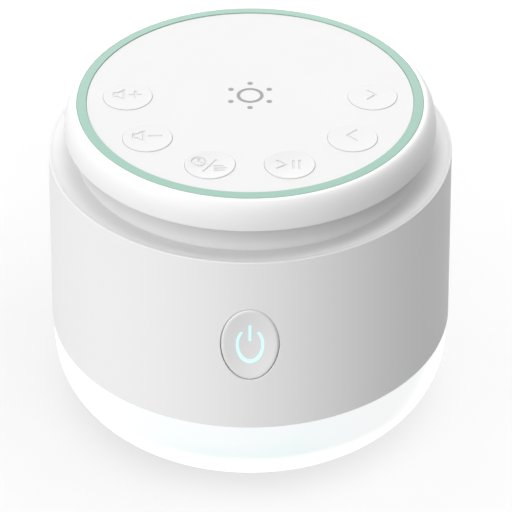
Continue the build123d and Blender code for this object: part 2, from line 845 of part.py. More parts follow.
def power_sign():
    """Open arc and bar of the on/off sign, on the front of the lens."""
    icon_z = button_z + fit_gap
    with BuildSketch(Plane.XZ.offset(-lens_front_y)) as sign:
        with Locations((0, icon_z)):
            Ellipse(icon_half_width, icon_half_height)
            Ellipse(
                icon_half_width - icon_stroke,
                icon_half_height - icon_foot_stroke,
                mode=Mode.SUBTRACT,
            )
        with Locations((0, icon_z + icon_half_height / 2)):
            Rectangle(icon_opening, icon_half_height, mode=Mode.SUBTRACT)
        with Locations((0, icon_z + icon_bar_rise)):
            SlotOverall(icon_bar_length, icon_bar_width, rotation=90)
    return sign.sketch


flange_low_z = button_z - button_reach
flange_high_z = button_z + button_reach
with BuildPart() as button_flange:
    with BuildSketch(Plane.XZ):
        with Locations((0, button_z)):
            Ellipse(
                button_half_width + button_flange_width,
                button_half_height + button_flange_width,
            )
    extrude(amount=sleeve_base_r)
    revolve(
        turned_face(
            (sleeve_inner(flange_low_z) - assembly_gap, flange_low_z),
            (sleeve_inner(flange_high_z) - assembly_gap, flange_high_z),
            (
                sleeve_inner(flange_high_z) - assembly_gap - button_flange_thickness,
                flange_high_z,
            ),
            (
                sleeve_inner(flange_low_z) - assembly_gap - button_flange_thickness,
                flange_low_z,
            ),
        ),
        mode=Mode.INTERSECT,
    )

with BuildPart() as power_button:
    with BuildSketch(Plane.XZ.offset(-button_back_y)):
        with Locations((0, button_z)):
            Ellipse(button_half_width, button_half_height)
    extrude(amount=button_depth + past_wall)
    revolve(
        turned_face(
            (0, flange_low_z),
            (sleeve_outer(flange_low_z), flange_low_z),
            (sleeve_outer(flange_high_z), flange_high_z),
            (0, flange_high_z),
        ),
        mode=Mode.INTERSECT,
    )
    chamfer(power_button.faces().sort_by(Axis.Y)[0].edges(), length=button_chamfer)
    revolve(dish_section(), axis=dish_axis, mode=Mode.SUBTRACT)
    add(button_flange.part)
    with BuildSketch(Plane.XZ.offset(-button_back_y)):
        with Locations((0, button_z)):
            Ellipse(lens_half_width + fit_gap, lens_half_height + fit_gap)
    extrude(amount=lens_thickness, mode=Mode.SUBTRACT)
    extrude(power_sign(), amount=button_depth, mode=Mode.SUBTRACT)
finish(power_button, "power_button")

with BuildPart() as power_icon_lens:
    extrude(power_sign(), amount=button_depth)
    revolve(dish_section(), axis=dish_axis, mode=Mode.SUBTRACT)
    with BuildSketch(Plane.XZ.offset(-button_back_y)):
        with Locations((0, button_z)):
            Ellipse(lens_half_width, lens_half_height)
    extrude(amount=lens_thickness)
    with BuildSketch(Plane.XZ.offset(-button_back_y)):
        with Locations((0, button_z)):
            Circle(lens_stem_r)
    extrude(amount=-lens_stem_length)
finish(power_icon_lens, "power_icon_lens")

with BuildPart() as power_plunger:
    with BuildSketch(Plane.XZ.offset(-power_plunger_y)):
        with Locations((0, button_z)):
            Circle(plunger_r)
    extrude(amount=-plunger_length)
finish(power_plunger, "power_plunger")

with BuildPart() as power_switch:
    with BuildSketch(Plane.XZ.offset(-power_switch_y)):
        with Locations((0, button_z)):
            Rectangle(switch_size, switch_size)
    extrude(amount=-power_switch_depth)
    with BuildSketch(Plane.XZ.offset(-power_switch_y)):
        with Locations((0, button_z)):
            Circle(plunger_r + slide_gap)
    extrude(amount=-plunger_length, mode=Mode.SUBTRACT)
finish(power_switch, "power_switch")

with BuildPart() as switch_board:
    with BuildSketch(Plane.XZ.offset(-switch_board_y)):
        with Locations((0, button_z)):
            Rectangle(2 * switch_board_half_width, 2 * switch_board_half_height)
        with Locations(*[(0, z) for z in switch_screws_z]):
            Circle(small_shank_r + screw_gap, mode=Mode.SUBTRACT)
    extrude(amount=-board_thickness)
finish(switch_board, "switch_board")

with BuildPart() as power_lamps:
    with BuildSketch(Plane.XZ.offset(-switch_board_y)):
        with Locations((-power_lamp_x, button_z), (power_lamp_x, button_z)):
            Rectangle(power_lamp_size, 2 * power_lamp_size)
    extrude(amount=lamp_height)
finish(power_lamps, "power_lamps")

with BuildPart() as switch_board_screws:
    with BuildSketch(Plane.XZ.offset(-switch_board_y)):
        with Locations(*[(0, z) for z in switch_screws_z]):
            Circle(small_head_r)
    extrude(amount=small_head_height)
    with BuildSketch(Plane.XZ.offset(-switch_board_y)):
        with Locations(*[(0, z) for z in switch_screws_z]):
            Circle(small_shank_r)
    extrude(amount=-board_thickness - small_bite)
finish(switch_board_screws, "switch_board_screws")

# ---------------------------------------------------------------- speaker
flange_top_z = deck_top_z + basket_sheet
basket_back_z = deck_top_z - basket_depth
basket_floor_z = basket_back_z + basket_sheet
magnet_bottom_z = basket_back_z - magnet_height
yoke_bottom_z = magnet_bottom_z - yoke_thickness
cone_lip_z = deck_top_z + cone_rise
cone_neck_z = cone_lip_z - cone_depth
cone_slope = cone_depth / (cone_r - cone_lip - coil_r)

with BuildPart() as speaker_basket:
    revolve(
        turned_face(
            (speaker_flange_r, deck_top_z),
            (speaker_flange_r, flange_top_z),
            (basket_mouth_r - basket_sheet, flange_top_z),
            (basket_mouth_r - basket_sheet, deck_top_z),
            (basket_back_r - basket_sheet, basket_floor_z),
            (coil_r + coil_gap, basket_floor_z),
            (coil_r + coil_gap, basket_back_z),
            (basket_back_r, basket_back_z),
            (basket_mouth_r, deck_top_z),
        )
    )
    with BuildSketch(Plane.XY.offset(basket_floor_z + spider_wave + basket_sheet)):
        with PolarLocations((basket_mouth_r + basket_back_r) / 2, 4):
            Rectangle(basket_mouth_r - basket_back_r + 2 * window_reach, window_width)
    extrude(amount=window_height, mode=Mode.SUBTRACT)
    with Locations(*[(x, y, flange_top_z) for x, y, _ in speaker_screw_places]):
        Hole(small_shank_r + screw_gap, depth=basket_sheet)
finish(speaker_basket, "speaker_basket")

with BuildPart() as speaker_magnet:
    with BuildSketch(Plane.XY.offset(magnet_bottom_z)):
        Circle(magnet_r)
        Circle(magnet_bore_r, mode=Mode.SUBTRACT)
    extrude(amount=magnet_height)
finish(speaker_magnet, "speaker_magnet")

with BuildPart() as speaker_yoke:
    revolve(
        turned_face(
            (0, yoke_bottom_z),
            (magnet_r, yoke_bottom_z, edge_round),
            (magnet_r, magnet_bottom_z),
            (pole_r, magnet_bottom_z),
            (pole_r, basket_floor_z),
            (0, basket_floor_z),
        )
    )
finish(speaker_yoke, "speaker_yoke")

with BuildPart() as voice_coil:
    with BuildSketch(Plane.XY.offset(cone_neck_z)):
        Circle(coil_r)
        Circle(coil_inner_r, mode=Mode.SUBTRACT)
    extrude(amount=-coil_length)
finish(voice_coil, "voice_coil")

cone_top_z = cone_neck_z + cone_sheet + cone_slope * (cone_r - cone_lip - coil_r)
with BuildPart() as speaker_cone:
    revolve(
        turned_face(
            (coil_inner_r, cone_neck_z),
            (coil_inner_r, cone_neck_z + cone_sheet),
            (coil_r, cone_neck_z + cone_sheet),
            (cone_r - cone_lip, cone_top_z),
            (cone_r, cone_top_z),
            (cone_r, cone_lip_z),
            (cone_r - cone_lip, cone_lip_z),
            (coil_r, cone_neck_z),
        )
    )
finish(speaker_cone, "speaker_cone")

dust_cap_foot_z = cone_neck_z + cone_sheet + cone_slope * (dust_cap_r - coil_r)
dust_cap_inner_r = dust_cap_r - cone_sheet
dust_cap_inner_z = dust_cap_foot_z - cone_slope * cone_sheet
with BuildPart() as dust_cap:
    with BuildSketch(Plane.XZ):
        with BuildLine():
            dome_top = dust_cap_foot_z + dust_cap_rise
            dome_radius = (dust_cap_r**2 + dust_cap_rise**2) / (2 * dust_cap_rise)
            over = JernArc(
                (0, dome_top),
                (1, 0),
                dome_radius,
                -math.degrees(math.asin(dust_cap_r / dome_radius)),
            )
            under_rise = dome_top - cone_sheet - dust_cap_inner_z
            under_radius = (dust_cap_inner_r**2 + under_rise**2) / (2 * under_rise)
            under = JernArc(
                (0, dome_top - cone_sheet),
                (1, 0),
                under_radius,
                -math.degrees(math.asin(dust_cap_inner_r / under_radius)),
            )
            Line(over @ 1, under @ 1)
            Line(over @ 0, under @ 0)
        make_face()
    revolve(axis=Axis.Z)
finish(dust_cap, "dust_cap")

roll_middle_r = cone_r + surround_roll_r
roll_outer_r = surround_roll_r + surround_sheet
roll_foot = math.sqrt(roll_outer_r**2 - surround_sheet**2)
with BuildPart() as speaker_surround:
    with BuildSketch(Plane.XZ):
        with BuildLine():
            inner_roll = ThreePointArc(
                (cone_r, flange_top_z),
                (roll_middle_r, flange_top_z + surround_roll_r),
                (roll_middle_r + surround_roll_r, flange_top_z),
            )
            outer_roll = ThreePointArc(
                (roll_middle_r + roll_foot, flange_top_z + surround_sheet),
                (roll_middle_r, flange_top_z + roll_outer_r),
                (roll_middle_r - roll_outer_r, flange_top_z),
            )
            Polyline(
                inner_roll @ 1,
                (surround_r, flange_top_z),
                (surround_r, flange_top_z + surround_sheet),
                outer_roll @ 0,
            )
            Polyline(
                outer_roll @ 1,
                (cone_r - cone_lip, flange_top_z),
                (cone_r - cone_lip, cone_top_z),
                (cone_r, cone_top_z),
                inner_roll @ 0,
            )
        make_face()
    revolve(axis=Axis.Z)
finish(speaker_surround, "speaker_surround")

spider_low_z = basket_floor_z + spider_wave
spider_high_z = spider_low_z + spider_wave
spider_foot_r = spider_r - spider_foot
spider_step = (spider_foot_r - coil_r - fit_gap) / 4
with BuildPart() as speaker_spider:
    crests = [
        (spider_foot_r - n * spider_step, spider_high_z if n % 2 else spider_low_z)
        for n in range(5)
    ]
    revolve(
        turned_face(
            (spider_r, basket_floor_z),
            (spider_r, spider_low_z + surround_sheet),
            *[(r, z + surround_sheet) for r, z in crests],
            *reversed(crests),
            (spider_foot_r, basket_floor_z),
        )
    )
finish(speaker_spider, "speaker_spider")

# ---------------------------------------------------------------- main board and inlet
board_tongue_end_y = port_floor_y - usb_overhang
usb_back_y = port_floor_y - usb_length

with BuildPart() as main_board:
    with BuildSketch(Plane.XY.offset(main_board_bottom_z)):
        Circle(main_board_r)
        with Locations((0, board_tongue_end_y / 2)):
            Rectangle(board_tongue_width, board_tongue_end_y)
        with Locations(*[place[:2] for place in main_screw_places]):
            Circle(small_shank_r + screw_gap, mode=Mode.SUBTRACT)
    extrude(amount=main_board_thickness)
finish(main_board, "main_board")

with BuildPart() as usb_socket_shell:
    with BuildSketch(Plane.XZ.offset(-port_floor_y)):
        with Locations((0, port_z)):
            SlotOverall(usb_width, usb_height)
            SlotOverall(
                usb_width - 2 * usb_sheet, usb_height - 2 * usb_sheet, mode=Mode.SUBTRACT
            )
    extrude(amount=usb_length)
finish(usb_socket_shell, "usb_socket_shell")

with BuildPart() as usb_socket_tongue:
    with BuildSketch(Plane.XZ.offset(-usb_back_y)):
        with Locations((0, port_z)):
            SlotOverall(
                usb_width - 2 * (usb_sheet + fit_gap),
                usb_height - 2 * (usb_sheet + fit_gap),
            )
    extrude(amount=-usb_back_wall)
    with BuildSketch(Plane.XZ.offset(-usb_back_y)):
        with Locations((0, port_z)):
            Rectangle(usb_tongue_width, usb_tongue_thickness)
    extrude(amount=-usb_length + usb_tongue_setback)
finish(usb_socket_tongue, "usb_socket_tongue")

chip_pitch_r = main_board_r - chip_inset
with BuildPart() as main_board_chips:
    with BuildSketch(Plane.XY.offset(main_board_top_z)):
        with Locations(on_circle(chip_pitch_r, chip_angle)):
            Rectangle(chip_side, chip_side)
    extrude(amount=chip_height)
    with BuildSketch(Plane.XY.offset(main_board_top_z)):
        with Locations(*[on_circle(chip_pitch_r, a) for a in driver_angles]):
            Rectangle(driver_side, driver_side)
    extrude(amount=driver_height)
finish(main_board_chips, "main_board_chips")

capacitor_pitch_r = main_board_r - capacitor_inset
capacitor_swing = math.degrees(
    math.asin((capacitor_r + capacitor_gap / 2) / capacitor_pitch_r)
)
with BuildPart() as board_capacitors:
    with BuildSketch(Plane.XY.offset(main_board_top_z)):
        with Locations(
            on_circle(capacitor_pitch_r, capacitor_angle - capacitor_swing),
            on_circle(capacitor_pitch_r, capacitor_angle + capacitor_swing),
        ):
            Circle(capacitor_r)
    extrude(amount=capacitor_height)
    chamfer(board_capacitors.edges().group_by(Axis.Z)[-1], length=edge_round)
finish(board_capacitors, "board_capacitors")

connector_pitch_r = main_board_r - connector_inset
with BuildPart() as wire_connectors:
    with BuildSketch(Plane.XY.offset(main_board_top_z)):
        with Locations(*[on_circle(connector_pitch_r, a) for a in connector_angles]):
            Rectangle(connector_width, connector_depth)
    extrude(amount=connector_height)
finish(wire_connectors, "wire_connectors")

# ---------------------------------------------------------------- light
with BuildPart() as light_board:
    with BuildSketch(Plane.XY.offset(light_board_bottom_z)):
        Circle(light_board_outer_r)
        Circle(light_board_inner_r, mode=Mode.SUBTRACT)
        with Locations(*[place[:2] for place in light_screw_places]):
            Circle(small_shank_r + screw_gap, mode=Mode.SUBTRACT)
    extrude(amount=board_thickness)
finish(light_board, "light_board")

with BuildPart() as light_lamps:
    with BuildSketch(Plane.XY.offset(light_board_bottom_z)):
        with PolarLocations(lamp_pitch_r, lamp_count):
            Rectangle(lamp_size, lamp_size)
    extrude(amount=-lamp_height)
finish(light_lamps, "light_lamps")

reflector_r = skirt_inner_r - assembly_gap
with BuildPart() as light_reflector:
    revolve(
        turned_face(
            (0, reflector_bottom_z),
            (reflector_r, reflector_bottom_z, edge_round),
            (reflector_r, chassis_bottom_z),
            (reflector_r - reflector_thickness, chassis_bottom_z),
            (reflector_r - reflector_thickness, reflector_top_z),
            (0, reflector_top_z),
        )
    )
    with Locations(*ring_places(lamp_pitch_r, lamp_count, 0, reflector_top_z)):
        Hole(lamp_window_r, depth=reflector_thickness)
    with Locations((0, 0, reflector_top_z)):
        Hole(small_shank_r + screw_gap, depth=reflector_thickness)
finish(light_reflector, "light_reflector")

# ---------------------------------------------------------------- fasteners
large = (screw_head_r, screw_head_height, screw_shank_r)
small = (small_head_r, small_head_height, small_shank_r)
flange_places = [(x, y, flange_top_z) for x, y, _ in speaker_screw_places]
hub_place = [(0, 0, reflector_bottom_z)]

pan_screws("chassis_screws", post_places, *large, chassis_thickness + screw_bite, 1)
pan_screws("cap_screws", column_places, *large, deck_thickness + screw_bite, 1)
pan_screws("speaker_screws", flange_places, *small, basket_sheet + small_bite, -1)
pan_screws(
    "control_board_screws", control_screw_places, *small, board_thickness + small_bite, -1
)
pan_screws(
    "main_board_screws", main_screw_places, *small, main_board_thickness + small_bite, -1
)
pan_screws(
    "light_board_screws", light_screw_places, *small, board_thickness + small_bite, 1
)
pan_screws("reflector_screw", hub_place, *small, reflector_thickness + small_bite, 1)

for piece in finished:
    export_step(piece, f"parts/{piece.label}.step")
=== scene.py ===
"""Looks of a white noise sound machine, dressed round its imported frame.

Sizes are written in millimetres and become metres once, where a mesh is made. Z is up,
the foot stands on z = 0 and the power button faces -Y, as in the frame.
"""

import json
import logging
import math
from collections.abc import Callable, Mapping, Sequence
from dataclasses import dataclass, field
from enum import Enum

import bmesh
import bpy
import numpy as np
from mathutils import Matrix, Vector
from mathutils.geometry import delaunay_2d_cdt


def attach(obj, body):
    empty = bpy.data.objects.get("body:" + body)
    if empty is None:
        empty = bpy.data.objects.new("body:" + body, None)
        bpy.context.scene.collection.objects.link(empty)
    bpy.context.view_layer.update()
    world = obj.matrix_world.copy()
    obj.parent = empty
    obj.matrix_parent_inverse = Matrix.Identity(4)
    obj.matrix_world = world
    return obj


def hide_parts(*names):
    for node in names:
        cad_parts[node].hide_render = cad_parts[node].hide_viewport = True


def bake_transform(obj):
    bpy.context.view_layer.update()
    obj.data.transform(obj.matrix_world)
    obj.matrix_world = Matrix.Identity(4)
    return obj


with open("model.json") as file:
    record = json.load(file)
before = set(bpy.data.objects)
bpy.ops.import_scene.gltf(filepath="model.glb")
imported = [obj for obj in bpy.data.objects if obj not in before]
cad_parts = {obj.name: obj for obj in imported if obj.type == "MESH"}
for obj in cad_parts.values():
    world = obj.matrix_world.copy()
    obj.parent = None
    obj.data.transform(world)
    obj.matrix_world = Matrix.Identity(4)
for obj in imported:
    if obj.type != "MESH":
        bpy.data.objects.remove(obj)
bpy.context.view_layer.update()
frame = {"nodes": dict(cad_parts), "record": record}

log = logging.getLogger("sound_machine")
MM = 0.001
ROUNDING_STEPS = 6
SUPPORT = 0.08  # from a rounding to the row of points that keeps the flat beside it flat
SHARP_ANGLE = math.radians(28.0)  # an edge stays sharp from here on
Colour = tuple[float, float, float]
Setting = str | int | float | bool | Sequence
Numbers = np.ndarray
RadiusAt = Callable[[Numbers], Numbers]
Span = tuple[int, int]


# ---------------------------------------------------------------- graphs
class Wire:
    """An output socket of a graph, which takes part in sums as a number does."""

    def __init__(self, graph: "Graph", socket: bpy.types.NodeSocket) -> None:
        """Keep the socket and the graph that it belongs to."""
        self.graph = graph
        self.socket = socket

    def _join(self, operation: str, first: "Wire | float", second: "Wire | float") -> "Wire":
        """Join two numbers by one Math node."""
        return self.graph.add("ShaderNodeMath", {"operation": operation}, {0: first, 1: second})

    def __add__(self, other: "Wire | float") -> "Wire":
        """Sum."""
        return self._join("ADD", self, other)

    def __radd__(self, other: float) -> "Wire":
        """Sum with the number in front."""
        return self._join("ADD", other, self)

    def __sub__(self, other: "Wire | float") -> "Wire":
        """Difference."""
        return self._join("SUBTRACT", self, other)

    def __rsub__(self, other: float) -> "Wire":
        """Difference with the number in front."""
        return self._join("SUBTRACT", other, self)

    def __mul__(self, other: "Wire | float") -> "Wire":
        """Product."""
        return self._join("MULTIPLY", self, other)

    def __rmul__(self, other: float) -> "Wire":
        """Product with the number in front."""
        return self._join("MULTIPLY", other, self)

    def __truediv__(self, other: "Wire | float") -> "Wire":
        """Quotient."""
        return self._join("DIVIDE", self, other)

    def __pow__(self, other: float) -> "Wire":
        """Power."""
        return self._join("POWER", self, other)

    def above(self, low: float, high: float) -> "Wire":
        """Smooth step from 0 at low to 1 at high.

        Args:
            low: Value that gives 0.
            high: Value that gives 1; it may be the smaller of the two.

        Returns:
            The step, from 0 to 1.
        """
        return self.graph.add(
            "ShaderNodeMapRange",
            {"interpolation_type": "SMOOTHSTEP"},
            {"Value": self, "From Min": low, "From Max": high},
        )


class Graph:
    """A node tree that is written as calls."""

    def __init__(self, tree: bpy.types.NodeTree) -> None:
        """Start from an empty tree."""
        self.tree = tree
        self.tree.nodes.clear()

    def add(
        self,
        kind: str,
        settings: Mapping[str, Setting] | None = None,
        values: Mapping[int | str, object] | None = None,
        out: int | str = 0,
    ) -> Wire | None:
        """Add one node.

        Args:
            kind: The node's type.
            settings: Its own settings, set before anything else; "stops" is a ramp's rows
                of place and colour.
            values: Numbers, wires or lists of wires for its sockets.
            out: The output to hand back.

        Returns:
            That output, or nothing for a node without one.
        """
        node = self.tree.nodes.new(kind)
        for name, value in (settings or {}).items():
            if name == "stops":
                self._set_stops(node.color_ramp, value)
            else:
                setattr(node, name, value)
        for key, value in (values or {}).items():
            for given in value if isinstance(value, list) else [value]:
                if isinstance(given, Wire):
                    self.tree.links.new(given.socket, node.inputs[key])
                else:
                    node.inputs[key].default_value = given
        return Wire(self, node.outputs[out]) if len(node.outputs) else None

    @staticmethod
    def _set_stops(ramp: bpy.types.ColorRamp, stops: Sequence[tuple[float, Colour]]) -> None:
        """Give a ramp its stops.

        Args:
            ramp: The node's ramp.
            stops: Rows of place and colour, in order.
        """
        while len(ramp.elements) < len(stops):
            ramp.elements.new(0.5)
        for element, (place, colour) in zip(ramp.elements, stops):
            element.position = place
            element.color = (*colour, 1.0)


class Surface(Graph):
    """The graph of one material."""

    def __init__(self, name: str) -> None:
        """Make the material and take its object coordinates.

        Args:
            name: Name of the material.
        """
        self.material = bpy.data.materials.new(name)
        self.material.use_nodes = True
        super().__init__(self.material.node_tree)
        self.place = self.add("ShaderNodeTexCoord", out="Object")

    def axes(self) -> tuple[Wire, Wire, Wire]:
        """The three object coordinates, in metres."""
        apart = self.add("ShaderNodeSeparateXYZ", values={0: self.place})
        return apart, *(Wire(self, apart.socket.node.outputs[n]) for n in (1, 2))

    def cloud(self, size: float, detail: float = 2.0, where: Wire | None = None) -> Wire:
        """Noise of a given grain.

        Args:
            size: Width of a grain in millimetres.
            detail: Finer layers on top of it.
            where: Coordinates, if not the object's own.

        Returns:
            A number about 0.5, from 0 to 1.
        """
        return self.add(
            "ShaderNodeTexNoise",
            values={"Vector": where or self.place, "Scale": 1 / (size * MM), "Detail": detail},
        )

    def stretched(self, x: float, y: float, z: float) -> Wire:
        """Object coordinates stretched along each axis."""
        return self.add("ShaderNodeMapping", values={0: self.place, "Scale": (x, y, z)})

    def tint(self, share: Wire | float, first: Wire | Colour, second: Wire | Colour) -> Wire:
        """Mix two colours.

        Args:
            share: Share of the second colour.
            first: Colour where the share is 0.
            second: Colour where the share is 1.

        Returns:
            The mixed colour.
        """
        rows = {
            key: colour if isinstance(colour, Wire) else (*colour, 1.0)
            for key, colour in ((6, first), (7, second))
        }
        return self.add("ShaderNodeMix", {"data_type": "RGBA"}, {0: share, **rows}, out=2)

    def relief(self, height: Wire, depth: float, under: Wire | None = None) -> Wire:
        """Turn a height into a bumped normal.

        Args:
            height: Height from 0 to 1.
            depth: What a height of 1 stands for, in millimetres.
            under: Normal of a relief below this one.

        Returns:
            The normal.
        """
        values = {"Height": height, "Distance": depth * MM, "Strength": 1.0}
        if under is not None:
            values["Normal"] = under
        return self.add("ShaderNodeBump", values=values)

    def close(self, values: Mapping[str, object]) -> bpy.types.Material:
        """End the graph in a Principled shader.

        Args:
            values: Its sockets.

        Returns:
            The finished material.
        """
        shader = self.add("ShaderNodeBsdfPrincipled", values=values)
        self.add("ShaderNodeOutputMaterial", values={"Surface": shader})
        return self.material


class Recipe(Graph):
    """A geometry tree with named sizes, whose result becomes a plain mesh."""

    def __init__(self, name: str, sizes: Mapping[str, float | int]) -> None:
        """Make the tree and its inputs.

        Args:
            name: Name of the tree.
            sizes: Input names with their values: metres, or a whole number for a count.
        """
        super().__init__(bpy.data.node_groups.new(name, "GeometryNodeTree"))
        self.sizes = dict(sizes)
        shapes = self.tree.interface
        shapes.new_socket("Geometry", in_out="OUTPUT", socket_type="NodeSocketGeometry")
        self.names: dict[str, str] = {}
        for label, value in self.sizes.items():
            kind = "NodeSocketInt" if isinstance(value, int) else "NodeSocketFloat"
            socket = shapes.new_socket(label, in_out="INPUT", socket_type=kind)
            self.names[label] = socket.identifier
        self.given = self.tree.nodes.new("NodeGroupInput")

    def size(self, label: str) -> Wire:
        """One of the named inputs."""
        return Wire(self, self.given.outputs[label])

    def upright(self, turn: Wire | float) -> Wire:
        """A rotation about the vertical."""
        return self.add("ShaderNodeCombineXYZ", values={"Z": turn})

    def lifted(self, geometry: Wire, height: Wire | float) -> Wire:
        """The geometry raised to a height.

        Args:
            geometry: What is raised.
            height: How far, in metres.

        Returns:
            The raised geometry.
        """
        lift = self.add("ShaderNodeCombineXYZ", values={"Z": height})
        return self.add("GeometryNodeTransform", values={0: geometry, "Translation": lift})

    def hoop(self, radius: Wire, width: Wire, height: Wire, steps: int) -> Wire:
        """A flat-sided ring.

        Args:
            radius: Middle radius.
            width: Width of the band.
            height: Height of the band.
            steps: Sides of the circle.

        Returns:
            The ring's mesh.
        """
        line = self.add(
            "GeometryNodeCurvePrimitiveCircle", values={"Resolution": steps, "Radius": radius}
        )
        section = self.add(
            "GeometryNodeCurvePrimitiveQuadrilateral", values={"Width": width, "Height": height}
        )
        return self.add(
            "GeometryNodeCurveToMesh", values={"Curve": line, "Profile Curve": section}
        )

    def joined(self, *parts: Wire) -> Wire:
        """Several geometries as one."""
        return self.add("GeometryNodeJoinGeometry", values={0: list(parts)})

    def cook(self, name: str, geometry: Wire, finish: bpy.types.Material) -> bpy.types.Object:
        """Run the tree and keep its mesh.

        Args:
            name: Name of the piece.
            geometry: What the tree ends in.
            finish: Material of the piece.

        Returns:
            The piece, with no modifier left on it.
        """
        real = self.add("GeometryNodeRealizeInstances", values={0: geometry})
        dressed = self.add("GeometryNodeSetMaterial", values={0: real, "Material": finish})
        self.add("NodeGroupOutput", values={0: dressed})
        host = bpy.data.objects.new(name, bpy.data.meshes.new(f"{name}_seed"))
        bpy.context.scene.collection.objects.link(host)
        rule = host.modifiers.new("rule", "NODES")
        rule.node_group = self.tree
        for label, value in self.sizes.items():
            rule[self.names[label]] = value
        bpy.context.view_layer.update()
        seen = host.evaluated_get(bpy.context.evaluated_depsgraph_get())
        mesh = bpy.data.meshes.new_from_object(seen)
        host.modifiers.remove(rule)
        host.data = mesh
        mesh.name = name
        set_right(mesh)
        return host


# ---------------------------------------------------------------- finishes
@dataclass(frozen=True)
class MouldedPlastic:
    """Moulded plastic with the fine grain of a spark-eroded tool."""

    colour: Colour
    drift: Colour
    roughness: float = 0.42
    grain: float = 0.35
    depth: float = 0.004
    drift_size: float = 26.0
    flow_size: float = 7.0
    flow_stretch: float = 0.35

    def dress(self, name: str) -> bpy.types.Material:
        """Write the material.

        Args:
            name: Name of the material.

        Returns:
            The material.
        """
        at = Surface(name)
        broad = at.cloud(self.drift_size, 3.0)
        fine = at.cloud(self.grain)
        flow = at.cloud(self.flow_size, where=at.stretched(1.0, 1.0, self.flow_stretch))
        tone = at.tint(broad.above(0.35, 0.65), self.colour, self.drift)
        polish = self.roughness + (flow - 0.5) * 0.08 + (fine - 0.5) * 0.06
        ripple = at.relief(flow, self.depth * 1.5)
        return at.close(
            {
                "Base Color": tone,
                "Roughness": polish,
                "Normal": at.relief(fine, self.depth, ripple),
                "IOR": 1.5,
            }
        )


@dataclass(frozen=True)
class PaintedShadePlastic:
    """Moulded plastic with painted shade: the tone changes from the rim inwards and above a height,
    standing in for shade on one white.
    """

    # rim, low and high are lit and shaded tones of one white plastic: painted shade
    rim: Colour
    low: Colour
    high: Colour
    rim_r: float
    foot_r: float
    from_z: float
    to_z: float
    roughness: float = 0.5
    grain: float = 0.35
    depth: float = 0.003
    flow_size: float = 7.0

    def dress(self, name: str) -> bpy.types.Material:
        """Write the material.

        Args:
            name: Name of the material.

        Returns:
            The material.
        """
        at = Surface(name)
        x, y, z = (axis / MM for axis in at.axes())
        # painted shade: the tone darkens from rim_r towards the axis
        inwards = ((x * x + y * y) ** 0.5).above(self.rim_r, self.foot_r)
        flow = at.cloud(self.flow_size)
        fine = at.cloud(self.grain)
        shoulder = at.tint(inwards, self.rim, self.low)
        # painted shade: the tone darkens above from_z, with a little noise in the step
        height_shade = z.above(self.from_z, self.to_z) + (flow - 0.5) * 0.1
        return at.close(
            {
                "Base Color": at.tint(height_shade, shoulder, self.high),
                "Roughness": self.roughness + (fine - 0.5) * 0.06,
                "Normal": at.relief(fine, self.depth),
            }
        )


@dataclass(frozen=True)
class FrostedBowl:
    """Frosted bowl lit from inside, with painted shade: a pale band hangs below its edge, teal in
    the middle.

    The band is painted shade below the sleeve's edge, on the front. It fades out round the sides.
    """

    colour: Colour
    glow: Colour
    # band and teal: tones of the painted shade band, weaker than the glow
    band: Colour
    teal: Colour
    strength: float
    shade_band_low: float = 12.5
    shade_band_high: float = 15.5
    lean: float = 0.89
    end_from: float = 38.0
    end_to: float = 50.0
    teal_from: float = 30.0
    teal_to: float = 10.0
    deep_from: float = 24.0
    deep_to: float = 14.0
    lamp_size: float = 9.0
    frost_size: float = 0.18
    frost_depth: float = 0.003
    roughness: float = 0.5

    def dress(self, name: str) -> bpy.types.Material:
        """Write the material.

        Args:
            name: Name of the material.

        Returns:
            The material.
        """
        at = Surface(name)
        x, y, z = (axis / MM for axis in at.axes())
        ends = z - y * self.lean
        side = at.add("ShaderNodeMath", {"operation": "ABSOLUTE"}, {0: x})
        # painted shade: a band of weaker glow from z 12.5-15.5 up to the sleeve, only towards the
        # front
        inside = z.above(self.shade_band_low, self.shade_band_high) * ends.above(self.end_from, self.end_to)
        lamps = at.cloud(self.lamp_size).above(0.25, 0.8)
        frost = at.cloud(self.frost_size)
        deep = z.above(self.deep_from, self.deep_to) * 0.55 + lamps * 0.3 + 0.15
        # painted shade: the band turns teal in its middle, more so lower down and in noise patches
        middle = at.tint(side.above(self.teal_from, self.teal_to) * deep, self.band, self.teal)
        return at.close(
            {
                "Base Color": (*self.colour, 1.0),
                "Roughness": self.roughness + (frost - 0.5) * 0.12,
                "Emission Color": at.tint(inside, self.glow, middle),
                "Emission Strength": self.strength,
                "Normal": at.relief(frost, self.frost_depth),
                "IOR": 1.49,
            }
        )


@dataclass(frozen=True)
class LitSign:
    """Frosted sign with lamps behind it, its glow lighter towards the foot."""

    colour: Colour
    shade: Colour
    glow: Colour
    foot: Colour
    strength: float
    foot_z: float = 44.0
    head_z: float = 52.0
    patch_size: float = 3.0
    frost_size: float = 0.15
    frost_depth: float = 0.002
    roughness: float = 0.35

    def dress(self, name: str) -> bpy.types.Material:
        """Write the material.

        Args:
            name: Name of the material.

        Returns:
            The material.
        """
        at = Surface(name)
        _, _, z = at.axes()
        patch = at.cloud(self.patch_size)
        frost = at.cloud(self.frost_size, 1.0)
        # the glow grows lighter from head_z down to foot_z
        low = z.above(self.head_z * MM, self.foot_z * MM) * 0.85 + (patch - 0.5) * 0.3
        return at.close(
            {
                "Base Color": at.tint(patch.above(0.3, 0.7), self.colour, self.shade),
                "Roughness": self.roughness + (frost - 0.5) * 0.1,
                "Emission Color": at.tint(low, self.glow, self.foot),
                "Emission Strength": self.strength,
                "Normal": at.relief(frost, self.frost_depth),
            }
        )


